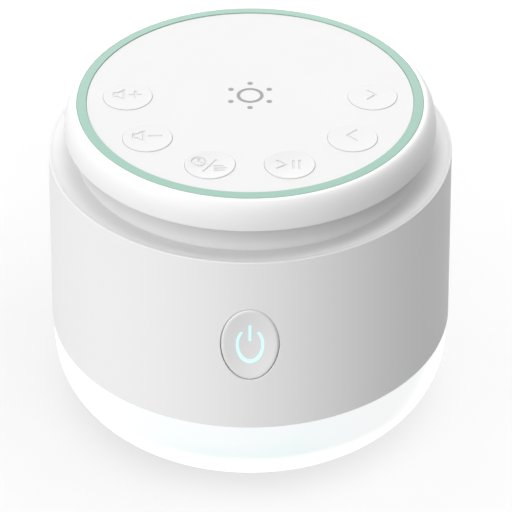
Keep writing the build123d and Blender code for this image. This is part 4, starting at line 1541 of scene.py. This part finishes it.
@dataclass
class PowerButton(SubAssembly):
    """Upright oval button with a dished face, and the lit sign let into it."""

    paint: Paintbox
    half_width: float = 7.03
    half_height: float = 10.4
    middle_z: float = 50.2
    wall_r: float = 50.489
    wall: float = 2.0
    taper: float = 1 / 49.15
    dish_depth: float = 0.9
    dish_along_r: float = 51.12
    dish_axis_out: float = 36.06
    dish_blend: float = 0.05
    edge: float = 0.45
    edge_support: float = 0.1
    edge_rings: int = 9
    flatness: float = 1.55
    seed_inset: float = 0.6
    seed_spacing: float = 0.32
    seed_span: tuple[float, float] = (0.06, 0.985)
    seed_columns: int = 96
    seed_turn: float = 3.0
    back_y: float = -46.389
    lens_front_y: float = -48.189
    lens: Oval = Oval(5.2, 7.6)
    lens_gap: float = 0.05
    sign_gap: float = 0.02
    stem_r: float = 2.0
    stem_length: float = 3.1
    flange_width: float = 1.3
    flange_gap: float = 0.15
    flange_thickness: float = 1.2
    columns: int = 288
    mark: PowerMark = PowerMark()

    def face(self, flat: Numbers) -> Numbers:
        """Depth of the front face.

        Args:
            flat: Rows of x and of z from the button's middle.

        Returns:
            y of each point.
        """
        x, up = flat[:, 0], flat[:, 1]
        radius = self.wall_r - self.taper * up
        wall = -np.sqrt(radius**2 - x**2)
        depth = self.dish_depth - (
            self.dish_along_r - np.sqrt(self.dish_along_r**2 - up**2)
        )
        bowl = self.dish_axis_out - np.sqrt((self.dish_axis_out + depth) ** 2 - x**2)
        dish = -radius - bowl
        return (wall + dish + np.hypot(wall - dish, self.dish_blend)) / 2

    def lay(self, draft: Draft, flat: Numbers, y: Numbers | float) -> Numbers:
        """Add points of the button.

        Args:
            draft: Where they go.
            flat: Rows of x and of z from the button's middle.
            y: Their depth.

        Returns:
            Their numbers.
        """
        depth = np.broadcast_to(y, (len(flat),))
        return draft.row(np.column_stack((flat[:, 0], depth, flat[:, 1] + self.middle_z)))

    def _seeds(self, signs: Sequence[Numbers]) -> Numbers:
        """Spread points over the face, clear of the sign's edges.

        Args:
            signs: Outlines of the sign's strokes.

        Returns:
            Rows of x and of z from the button's middle.
        """
        oval = Oval(self.half_width - self.seed_inset, self.half_height - self.seed_inset)
        rows = []
        for share in np.linspace(*self.seed_span, int(oval.half_height / self.seed_spacing)):
            angles = circle(max(8, int(self.seed_columns * share)), self.seed_turn)
            rows.append(oval.outline(angles) * share)
        spread = np.vstack(rows)
        edges = np.vstack(signs)
        away = np.linalg.norm(spread[:, None] - edges[None], axis=2).min(axis=1)
        return spread[away > self.seed_spacing / 3]

    def build_button(self) -> bpy.types.Object:
        """Make the button with the slots of its sign and the pocket of its lens.

        Returns:
            The button.
        """
        draft = Draft()
        angles = circle(self.columns)
        body = Oval(self.half_width, self.half_height)
        rim = body.outline(angles, -self.edge - self.edge_support)
        signs = [self.mark.arc(self.sign_gap), self.mark.bar(self.sign_gap)]
        seeds = self._seeds(signs)
        loops = [self.lay(draft, line, self.face(line)) for line in (rim, *signs)]
        draft.weave((rim, *signs), loops, seeds, self.lay(draft, seeds, self.face(seeds)))
        rings = [loops[0]]
        for lean in np.linspace(0, math.pi / 2, self.edge_rings):
            line = body.outline(angles, -self.edge * (1 - math.sin(lean) ** self.flatness))
            sunk = self.edge * (1 - math.cos(lean) ** self.flatness)
            rings.append(self.lay(draft, line, self.face(line) + sunk))
        line = body.outline(angles)
        side_y = self.face(line) + self.edge + self.edge_support
        rings.append(self.lay(draft, line, side_y))
        skirt = body.outline(angles, self.flange_width)
        gap = self.wall + self.flange_gap
        for flat, inset in (
            (line, gap),
            (skirt, gap),
            (skirt, gap + self.flange_thickness),
            (line, gap + self.flange_thickness),
        ):
            radius = self.wall_r - self.taper * flat[:, 1] - inset
            rings.append(self.lay(draft, flat, -np.sqrt(radius**2 - flat[:, 0] ** 2)))
        pocket = self.lens.outline(angles, self.lens_gap)
        rings.append(self.lay(draft, line, self.back_y))
        rings.append(self.lay(draft, pocket, self.back_y))
        rings.append(self.lay(draft, pocket, self.lens_front_y))
        draft.chain(rings)
        floors = [self.lay(draft, sign, self.lens_front_y) for sign in signs]
        draft.weave((pocket, *signs), [rings[-1], *floors])
        for front, floor in zip(loops[1:], floors):
            draft.bridge(front, floor)
        return draft.piece("button_shell")

    def build_lens(self) -> bpy.types.Object:
        """Make the lit sign with the plate and the stem behind it.

        Returns:
            The lens.
        """
        draft = Draft()
        angles = circle(self.columns)
        signs = [self.mark.arc(0.0), self.mark.bar(0.0)]
        plate = self.lens.outline(angles)
        feet = []
        for sign in signs:
            front = self.lay(draft, sign, self.face(sign))
            draft.weave((sign,), [front])
            feet.append(self.lay(draft, sign, self.lens_front_y))
            draft.bridge(front, feet[-1])
        top = self.lay(draft, plate, self.lens_front_y)
        draft.weave((plate, *signs), [top, *feet])
        stem = Oval(self.stem_r, self.stem_r).outline(angles)
        stem_end = self.back_y + self.stem_length
        back = [(plate, self.back_y), (stem, self.back_y), (stem, stem_end)]
        rings = [top, *(self.lay(draft, flat, y) for flat, y in back)]
        rings.append(self.lay(draft, np.zeros((1, 2)), stem_end))
        draft.chain(rings)
        return draft.piece("sign_lens")

    def dress(self) -> list[bpy.types.Object]:
        """Build the button and its lens and seat them.

        Returns:
            Both pieces.
        """
        return [
            self.seat(self.build_button(), "power", "button_white", ["power_button"]),
            self.seat(self.build_lens(), "power", "icon_glow", ["power_icon_lens"]),
        ]


# ---------------------------------------------------------------- cap
@dataclass
class Cap(SubAssembly):
    """Overhanging cap with its rounded crown, and the mint ring let into it."""

    paint: Paintbox
    cap_r: float = 45.9
    accent_r: float = 42.65
    accent_inner_r: float = 40.2
    shelf_r: float = 38.58
    wall: float = 2.0
    edge_z: float = 80.2
    land: float = 0.3
    land_edge: float = 0.18
    inner_edge: float = 0.15
    top_z: float = 87.55
    seat_z: float = 85.6
    accent_top_z: float = 87.8
    accent_fall: float = 0.2
    accent_gap: float = 0.01
    accent_edge: float = 0.3
    accent_inner_edge: float = 0.12
    crown_steps: int = 44
    columns: int = 320

    def build_shell(self) -> bpy.types.Object:
        """Turn the cap.

        Returns:
            The cap shell.
        """
        base_z = self.edge_z + self.land
        lean = np.linspace(0, math.pi / 2, self.crown_steps)
        crown = np.column_stack(
            (
                self.accent_r + (self.cap_r - self.accent_r) * np.cos(lean),
                base_z + (self.top_z - base_z) * np.sin(lean),
            )
        )
        inner_r = self.cap_r - self.wall
        under_z = self.seat_z - self.wall
        below = rounded(
            [
                Corner(self.accent_r, self.seat_z),
                Corner(self.shelf_r, self.seat_z),
                Corner(self.shelf_r, under_z),
                Corner(inner_r, under_z),
                Corner(inner_r, self.edge_z, self.inner_edge),
                Corner(self.cap_r - self.land, self.edge_z, self.land_edge),
                Corner(self.cap_r, base_z),
            ]
        )[:-1]
        draft = Draft()
        draft.chain(draft.turn(np.vstack((crown, below)), circle(self.columns)), closed=True)
        return draft.piece("cap_skin")

    def build_accent(self) -> bpy.types.Object:
        """Turn the mint ring.

        Returns:
            The ring.
        """
        outer_r = self.accent_r - self.accent_gap
        outline = rounded(
            [
                Corner(self.accent_inner_r, self.seat_z),
                Corner(outer_r, self.seat_z),
                Corner(outer_r, self.accent_top_z - self.accent_fall, self.accent_edge),
                Corner(self.accent_inner_r, self.accent_top_z, self.accent_inner_edge),
            ]
        )
        draft = Draft()
        draft.chain(draft.turn(outline, circle(self.columns)), closed=True)
        return draft.piece("accent_band")

    def dress(self) -> list[bpy.types.Object]:
        """Build the cap and its ring and seat them.

        Returns:
            Both pieces.
        """
        return [
            self.seat(self.build_shell(), "housing", "cap_white", ["cap_shell"]),
            self.seat(self.build_accent(), "housing", "accent_mint", ["accent_ring"]),
        ]


# ---------------------------------------------------------------- keypad
@dataclass(frozen=True)
class Line:
    """Straight stroke of an engraved sign."""

    x0: float
    y0: float
    x1: float
    y1: float

    def away(self, x: Numbers, y: Numbers) -> Numbers:
        """Measure how far points lie from the stroke's middle line.

        Args:
            x: Places of the points to the right.
            y: Places of the points to the rear.

        Returns:
            The distance of each.
        """
        dx, dy = self.x1 - self.x0, self.y1 - self.y0
        share = ((x - self.x0) * dx + (y - self.y0) * dy) / (dx * dx + dy * dy)
        share = np.clip(share, 0, 1)
        return np.hypot(x - self.x0 - share * dx, y - self.y0 - share * dy)


@dataclass(frozen=True)
class Ring:
    """Round stroke of an engraved sign."""

    x: float
    y: float
    radius: float

    def away(self, x: Numbers, y: Numbers) -> Numbers:
        """Distance of each point from the stroke's middle line."""
        return np.abs(np.hypot(x - self.x, y - self.y) - self.radius)


def path(*points: tuple[float, float]) -> tuple[Line, ...]:
    """Strokes that join points in turn."""
    return tuple(Line(*a, *b) for a, b in zip(points, points[1:]))


HORN = path(
    (-3.4, -0.5), (-2.5, -0.5), (-0.9, -1.8), (-0.9, 2.4), (-2.5, 1.1), (-3.4, 1.1), (-3.4, -0.5)
)


class KeySign(Enum):
    """The six keys, left to right round the panel, with the strokes of their signs."""

    volume_up = (*HORN, *path((0.5, 0.4), (3.2, 0.4)), *path((1.85, -1.1), (1.85, 1.9)))
    volume_down = (*HORN, *path((0.4, 0.4), (3.4, 0.4)))
    timer = (
        Ring(-2.6, 0.9, 1.65),
        *path((-2.6, 1.9), (-2.6, 0.9), (-1.9, 0.5)),
        *path((-1.4, -3.0), (1.4, 1.6)),
        *path((1.2, -2.7), (3.4, -2.7)),
        *path((1.2, -1.7), (3.8, -1.7)),
        *path((1.2, -0.7), (3.0, -0.7)),
    )
    play = (
        *path((-2.9, -1.8), (-0.8, -0.2), (-2.9, 1.4)),
        *path((0.9, -1.9), (0.9, 1.4)),
        *path((2.4, -1.9), (2.4, 1.4)),
    )
    previous = path((1.0, -1.6), (-1.2, 0.6), (1.0, 2.8))
    next = path((-1.1, -1.6), (0.9, 0.3), (-1.1, 2.2))


@dataclass
class Keypad(SubAssembly):
    """Flat panel with six dished keys in round holes."""

    paint: Paintbox
    panel_r: float = 40.15
    panel_top_z: float = 87.6
    seat_z: float = 85.6
    panel_edge: float = 0.08
    hole_edge: float = 0.05
    key_r: float = 6.06
    key_gap: float = 0.045
    key_top_z: float = 87.75
    front_dish: float = 0.38
    side_dish: float = 0.12
    dish_rim: float = 0.45
    key_edge: float = 0.16
    flange_r: float = 7.0
    flange_edge: float = 0.1
    flange_top_z: float = 85.5
    flange_low_z: float = 84.7
    stem_r: float = 1.9
    stem_low_z: float = 83.9
    collar_inner_r: float = 7.3
    collar_outer_r: float = 8.1
    collar_height: float = 1.7
    pitch_r: float = 30.1
    key_step: float = 36.79
    stroke: float = 0.5
    cut: float = 0.2
    cut_slope: float = 0.2
    sign_rise: float = 0.45
    dish_rings: int = 76
    key_columns: int = 256
    hole_columns: int = 112
    panel_columns: int = 320
    places: dict[str, tuple[float, float]] = field(init=False)

    def __post_init__(self) -> None:
        """Work out where the keys stand."""
        middle = (len(KeySign) - 1) / 2
        self.places = {}
        for number, sign in enumerate(KeySign):
            angle = math.radians(-90 + (number - middle) * self.key_step)
            self.places[sign.name] = (
                self.pitch_r * math.cos(angle),
                self.pitch_r * math.sin(angle),
            )

    def build_panel(self) -> bpy.types.Object:
        """Make the panel with its six holes and the collars below them.

        Returns:
            The panel.
        """
        draft = Draft()
        side = rounded(
            [
                Corner(0.0, self.panel_top_z),
                Corner(self.panel_r, self.panel_top_z, self.panel_edge),
                Corner(self.panel_r, self.seat_z),
            ]
        )[1:]
        rings = draft.turn(side, circle(self.panel_columns))
        draft.chain(rings)
        tops, floors = [rings[0]], [rings[-1]]
        hole_r = self.key_r + self.key_gap
        low_z = self.seat_z - self.collar_height
        wall = rounded(
            [
                Corner(self.panel_r, self.panel_top_z),
                Corner(hole_r, self.panel_top_z, self.hole_edge),
                Corner(hole_r, self.seat_z),
                Corner(self.collar_inner_r, self.seat_z),
                Corner(self.collar_inner_r, low_z),
                Corner(self.collar_outer_r, low_z),
                Corner(self.collar_outer_r, self.seat_z),
            ]
        )[1:]
        for place in self.places.values():
            rings = draft.turn(wall, circle(self.hole_columns), place)
            draft.chain(rings)
            tops.append(rings[0])
            floors.append(rings[-1])
        draft.fill(tops)
        draft.fill(floors)
        return draft.piece("panel_face")

    def build_key(self, sign: KeySign) -> bpy.types.Object:
        """Make one key with its sign cut into the dish.

        Args:
            sign: Which key.

        Returns:
            The key.
        """
        draft = Draft()
        centre = self.places[sign.name]
        angles = circle(self.key_columns)
        dish_r = self.key_r - self.dish_rim
        depth = self.front_dish if sign in (KeySign.timer, KeySign.play) else self.side_dish
        bend = (dish_r**2 + depth**2) / (2 * depth)
        rings = []
        for share in np.linspace(0, 1, self.dish_rings):
            radius = dish_r * share
            count = 1 if radius == 0 else len(angles)
            x = radius * np.cos(angles[:count])
            y = radius * np.sin(angles[:count])
            z = self.key_top_z - depth + bend - math.sqrt(bend**2 - radius**2)
            low = y - self.sign_rise
            away = np.min([stroke.away(x, low) for stroke in sign.value], axis=0)
            sunk = smooth_step((self.stroke / 2 + self.cut_slope / 2 - away) / self.cut_slope)
            rings.append(
                draft.row(
                    np.column_stack((x + centre[0], y + centre[1], z - self.cut * sunk))
                )
            )
        below = rounded(
            [
                Corner(dish_r, self.key_top_z),
                Corner(self.key_r, self.key_top_z, self.key_edge),
                Corner(self.key_r, self.flange_top_z),
                Corner(self.flange_r, self.flange_top_z, self.flange_edge),
                Corner(self.flange_r, self.flange_low_z, self.flange_edge),
                Corner(self.stem_r, self.flange_low_z),
                Corner(self.stem_r, self.stem_low_z),
                Corner(0.0, self.stem_low_z),
            ]
        )[1:]
        rings += draft.turn(below, angles, centre)
        draft.chain(rings)
        return draft.piece(f"{sign.name}_cap")

    def dress(self) -> list[bpy.types.Object]:
        """Build the panel and the keys and seat them.

        Returns:
            The panel and the six keys.
        """
        pieces = [self.seat(self.build_panel(), "housing", "panel_white", ["top_panel"])]
        for sign in KeySign:
            key = self.build_key(sign)
            pieces.append(self.seat(key, sign.name, "key_white", [f"{sign.name}_key"]))
        return pieces


# ---------------------------------------------------------------- touch sign and grille
@dataclass
class TouchSign(SubAssembly):
    """Printed sun on the touch field: a ring with six dots round it."""

    paint: Paintbox
    centre_y: float = 1.56
    outer_r: float = 3.33
    inner_r: float = 2.46
    dot_r: float = 0.7
    dot_pitch_r: float = 5.45
    dot_count: int = 6
    dot_turn: float = 30.0
    ring_steps: int = 96
    dot_steps: int = 32
    panel_top_z: float = 87.6
    film: float = 0.02

    def build(self) -> bpy.types.Object:
        """Grow the sign by its rule.

        Returns:
            The printed sign.
        """
        rule = Recipe(
            "touch_sign_rule",
            {
                "Ring radius": (self.outer_r + self.inner_r) / 2 * MM,
                "Ring width": (self.outer_r - self.inner_r) * MM,
                "Film": self.film * MM,
                "Dot radius": self.dot_r * MM,
                "Dot circle": self.dot_pitch_r * MM,
                "Dots": self.dot_count,
            },
        )
        film = rule.size("Film")
        ring = rule.hoop(
            rule.size("Ring radius"), rule.size("Ring width"), film, self.ring_steps
        )
        dot = rule.add(
            "GeometryNodeMeshCylinder",
            {"fill_type": "NGON"},
            {"Vertices": self.dot_steps, "Radius": rule.size("Dot radius"), "Depth": film},
        )
        around = rule.add(
            "GeometryNodeMeshCircle",
            values={"Vertices": rule.size("Dots"), "Radius": rule.size("Dot circle")},
        )
        dots = rule.add("GeometryNodeInstanceOnPoints", values={"Points": around, "Instance": dot})
        turned = rule.add(
            "GeometryNodeTransform",
            values={0: dots, "Rotation": (0.0, 0.0, math.radians(self.dot_turn))},
        )
        middle = (0.0, self.centre_y * MM, (self.panel_top_z + self.film / 2) * MM)
        whole = rule.add(
            "GeometryNodeTransform",
            values={0: rule.joined(ring, turned), "Translation": middle},
        )
        return rule.cook("touch_sign", whole, self.paint.materials["sign_ink"])

    def dress(self) -> list[bpy.types.Object]:
        """Build the sign and seat it."""
        return [self.seat(self.build(), "housing", "panel_white", finish="sign_ink")]


@dataclass
class OutletGrille(SubAssembly):
    """Ring of upright slats in the gap under the cap, where the sound comes out."""

    paint: Paintbox
    outer_r: float = 40.75
    width: float = 1.5
    low_z: float = 76.2
    high_z: float = 80.2
    rail: float = 0.8
    rail_steps: int = 288
    slats: int = 48
    slat_share: float = 0.97
    slot_width: float = 3.4

    def build(self) -> bpy.types.Object:
        """Grow the grille by its rule.

        Returns:
            The grille.
        """
        middle_r = self.outer_r - self.width / 2
        post = 2 * math.pi * middle_r / self.slats - self.slot_width
        height = self.high_z - self.low_z
        rule = Recipe(
            "outlet_grille_rule",
            {
                "Middle radius": middle_r * MM,
                "Width": self.width * MM,
                "Rail": self.rail * MM,
                "Height": height * MM,
                "Slat": post * MM,
                "Slats": self.slats,
            },
        )
        rail = rule.hoop(
            rule.size("Middle radius"), rule.size("Width"), rule.size("Rail"), self.rail_steps
        )
        half = (rule.size("Height") - rule.size("Rail")) / 2
        rails = rule.joined(rule.lifted(rail, half), rule.lifted(rail, 0.0 - half))
        size = rule.add(
            "ShaderNodeCombineXYZ",
            values={
                "X": rule.size("Width") * self.slat_share,
                "Y": rule.size("Slat"),
                "Z": rule.size("Height") - rule.size("Rail"),
            },
        )
        slat = rule.add("GeometryNodeMeshCube", values={"Size": size})
        around = rule.add(
            "GeometryNodeMeshCircle",
            values={"Vertices": rule.size("Slats"), "Radius": rule.size("Middle radius")},
        )
        number = rule.add("GeometryNodeInputIndex")
        turn = rule.upright(number * (2 * math.pi) / rule.size("Slats"))
        slats = rule.add(
            "GeometryNodeInstanceOnPoints",
            values={"Points": around, "Instance": slat, "Rotation": turn},
        )
        centre = (self.low_z + self.high_z) / 2 * MM
        whole = rule.lifted(rule.joined(rails, slats), centre)
        return rule.cook("outlet_slats", whole, self.paint.materials["grille_white"])

    def dress(self) -> list[bpy.types.Object]:
        """Build the grille and seat it."""
        return [self.seat(self.build(), "housing", "grille_white", ["sound_grille"])]


# ---------------------------------------------------------------- speaker
@dataclass
class ConeSurround(SubAssembly):
    """Rubber roll between the cone and the basket, in sectors."""

    paint: Paintbox
    lip_r: float = 18.6
    cone_r: float = 19.6
    roll_r: float = 0.85
    flange_r: float = 22.3
    sheet: float = 0.4
    lip_z: float = 67.1
    flange_z: float = 67.5
    flex_width: float = 1.2
    sectors: int = 16
    columns: int = 12
    steps: int = 14

    def outline(self) -> Numbers:
        """Section of the roll with its lip and its flange.

        Returns:
            Rows of radius and height.
        """
        middle = np.array((self.cone_r + self.roll_r, self.flange_z))
        outer_r = self.roll_r + self.sheet
        under = np.linspace(math.pi, 0, self.steps)[:, None]
        over = np.linspace(math.asin(self.sheet / outer_r), math.pi, self.steps)[:, None]
        flange = [(self.flange_r, self.flange_z), (self.flange_r, self.flange_z + self.sheet)]
        lip = [(self.lip_r, self.flange_z), (self.lip_r, self.lip_z), (self.cone_r, self.lip_z)]
        return np.vstack(
            (
                middle + self.roll_r * np.hstack((np.cos(under), np.sin(under))),
                flange,
                middle + outer_r * np.hstack((np.cos(over), np.sin(over))),
                lip,
            )
        )

    def heading(self, number: int) -> float:
        """Angle of a sector's middle, in radians."""
        return 2 * math.pi * number / self.sectors

    def build(self, number: int) -> bpy.types.Object:
        """Make one sector.

        Args:
            number: Which one, counted round the cone.

        Returns:
            The sector.
        """
        radius, height = self.outline().T
        middle, half = self.heading(number), math.pi / self.sectors
        draft = Draft()
        cuts = [
            draft.row(np.column_stack((radius * math.cos(a), radius * math.sin(a), height)))
            for a in np.linspace(middle - half, middle + half, self.columns + 1)
        ]
        draft.chain(cuts)
        draft.faces += [tuple(int(n) for n in cuts[end]) for end in (0, -1)]
        return draft.piece(f"surround_sector_{number + 1:02d}")

    def dress(self) -> list[bpy.types.Object]:
        """Build the sectors, dress them and hide the CAD surround that they replace.

        Returns:
            The sectors.
        """
        pieces = []
        for number in range(self.sectors):
            piece = self.build(number)
            self.paint.coat(piece, "surround_rubber")
            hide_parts("speaker_surround")
            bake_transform(piece)
            pieces.append(piece)
        return pieces


# ---------------------------------------------------------------- studio
@dataclass(frozen=True)
class SoftLight:
    """Distant soft light: side and height in degrees, the side counted from the front."""

    name: str
    side: float
    height: float
    power: float
    spread: float

    def place(self) -> bpy.types.Object:
        """Put the light up.

        Returns:
            The lamp.
        """
        side, height = math.radians(self.side), math.radians(self.height)
        towards = Vector(
            (
                math.sin(side) * math.cos(height),
                -math.cos(side) * math.cos(height),
                math.sin(height),
            )
        )
        data = bpy.data.lights.new(self.name, "SUN")
        data.energy = self.power
        data.angle = math.radians(self.spread)
        lamp = bpy.data.objects.new(self.name, data)
        lamp.rotation_euler = (-towards).to_track_quat("-Z", "Y").to_euler()
        bpy.context.scene.collection.objects.link(lamp)
        return lamp


@dataclass
class Studio:
    """Pale floor, soft lights and the camera."""

    camera_place: tuple[float, float, float] = (0.00145, -0.6137, 0.4876)
    camera_pitch: float = 36.115
    lens: float = 209.44
    sensor_width: float = 36.0
    clip: tuple[float, float] = (0.01, 50.0)
    floor_half: float = 6.0
    floor_colour: Colour = (0.55, 0.55, 0.55)
    floor_wear: float = 0.98
    floor_patch: float = 40.0
    floor_roughness: float = 0.9
    floor_glow: float = 0.22
    sky: float = 0.21
    lights: tuple[SoftLight, ...] = (
        SoftLight("front_left", -30.0, 30.0, 2.2, 90.0),
        SoftLight("left", -60.0, 20.0, 1.65, 120.0),
        SoftLight("right", 60.0, 30.0, 0.4, 90.0),
        SoftLight("behind", 180.0, 40.0, 3.41, 90.0),
        SoftLight("behind_right", 150.0, 40.0, 0.35, 90.0),
    )
    floor_light: SoftLight = SoftLight("floor_wash", 50.0, 78.0, 4.0, 130.0)

    def build_floor(self) -> bpy.types.Object:
        """Lay the floor, a light table whose glow keeps its shadows faint.

        Returns:
            The floor.
        """
        at = Surface("floor_paper")
        tone = at.cloud(self.floor_patch).above(0.3, 0.7)
        worn = tuple(c * self.floor_wear for c in self.floor_colour)
        at.close(
            {
                "Base Color": at.tint(tone, self.floor_colour, worn),
                "Roughness": self.floor_roughness,
                "Emission Color": (1.0, 1.0, 1.0, 1.0),
                "Emission Strength": self.floor_glow,
            }
        )
        half = self.floor_half
        mesh = bpy.data.meshes.new("floor")
        corners = [(-half, -half, 0), (half, -half, 0), (half, half, 0), (-half, half, 0)]
        mesh.from_pydata(corners, [], [(0, 1, 2, 3)])
        mesh.materials.append(at.material)
        floor = bpy.data.objects.new("floor", mesh)
        bpy.context.scene.collection.objects.link(floor)
        floor.visible_diffuse = False
        return floor

    def build_camera(self) -> None:
        """Set the camera up where the product is seen from above its front."""
        data = bpy.data.cameras.new("camera")
        data.sensor_width = self.sensor_width
        data.lens = self.lens
        data.clip_start, data.clip_end = self.clip
        camera = bpy.data.objects.new("camera", data)
        camera.location = self.camera_place
        camera.rotation_euler = (math.radians(90 - self.camera_pitch), 0.0, 0.0)
        bpy.context.scene.collection.objects.link(camera)
        bpy.context.scene.camera = camera

    def build_lights(self, floor: bpy.types.Object) -> None:
        """Light the product softly from all round, most from the upper left, and wash the floor.

        Args:
            floor: The floor, which only its own light reaches.
        """
        world = bpy.data.worlds.new("sky")
        bpy.context.scene.world = world
        world.use_nodes = True
        sky = world.node_tree.nodes["Background"]
        sky.inputs["Color"].default_value = (1.0, 1.0, 1.0, 1.0)
        sky.inputs["Strength"].default_value = self.sky
        for light in self.lights:
            light.place().light_linking.receiver_collection = self._reach(floor, "EXCLUDE")
        wash = self.floor_light.place()
        wash.light_linking.receiver_collection = self._reach(floor, "INCLUDE")
        bpy.context.scene.view_settings.view_transform = "Standard"

    @staticmethod
    def _reach(floor: bpy.types.Object, state: str) -> bpy.types.Collection:
        """Collection that lets a light reach the floor alone, or all but the floor.

        Args:
            floor: The floor.
            state: INCLUDE or EXCLUDE.

        Returns:
            The collection, for a light's receivers.
        """
        reach = bpy.data.collections.new(f"floor_{state.lower()}")
        reach.objects.link(floor)
        reach.collection_objects[0].light_linking.link_state = state
        return reach

    def build(self) -> None:
        """Build the whole studio."""
        floor = self.build_floor()
        self.build_camera()
        self.build_lights(floor)


def main() -> None:
    """Build and dress every sub-assembly in order."""
    logging.basicConfig(level=logging.INFO, format="%(name)s: %(message)s")
    paint = Paintbox()
    for name, finish in paint.coat_frame(frame["record"], frame["nodes"]).items():
        log.info("node %s wears %s", name, finish)
    for part in (
        BodySleeve(paint),
        PowerButton(paint),
        Cap(paint),
        Keypad(paint),
        TouchSign(paint),
        OutletGrille(paint),
        ConeSurround(paint),
    ):
        for piece in part.dress():
            worn = piece.active_material.name
            log.info("%s: %d faces, wears %s", piece.name, len(piece.data.polygons), worn)
    Studio().build()


if __name__ == "__main__":
    main()
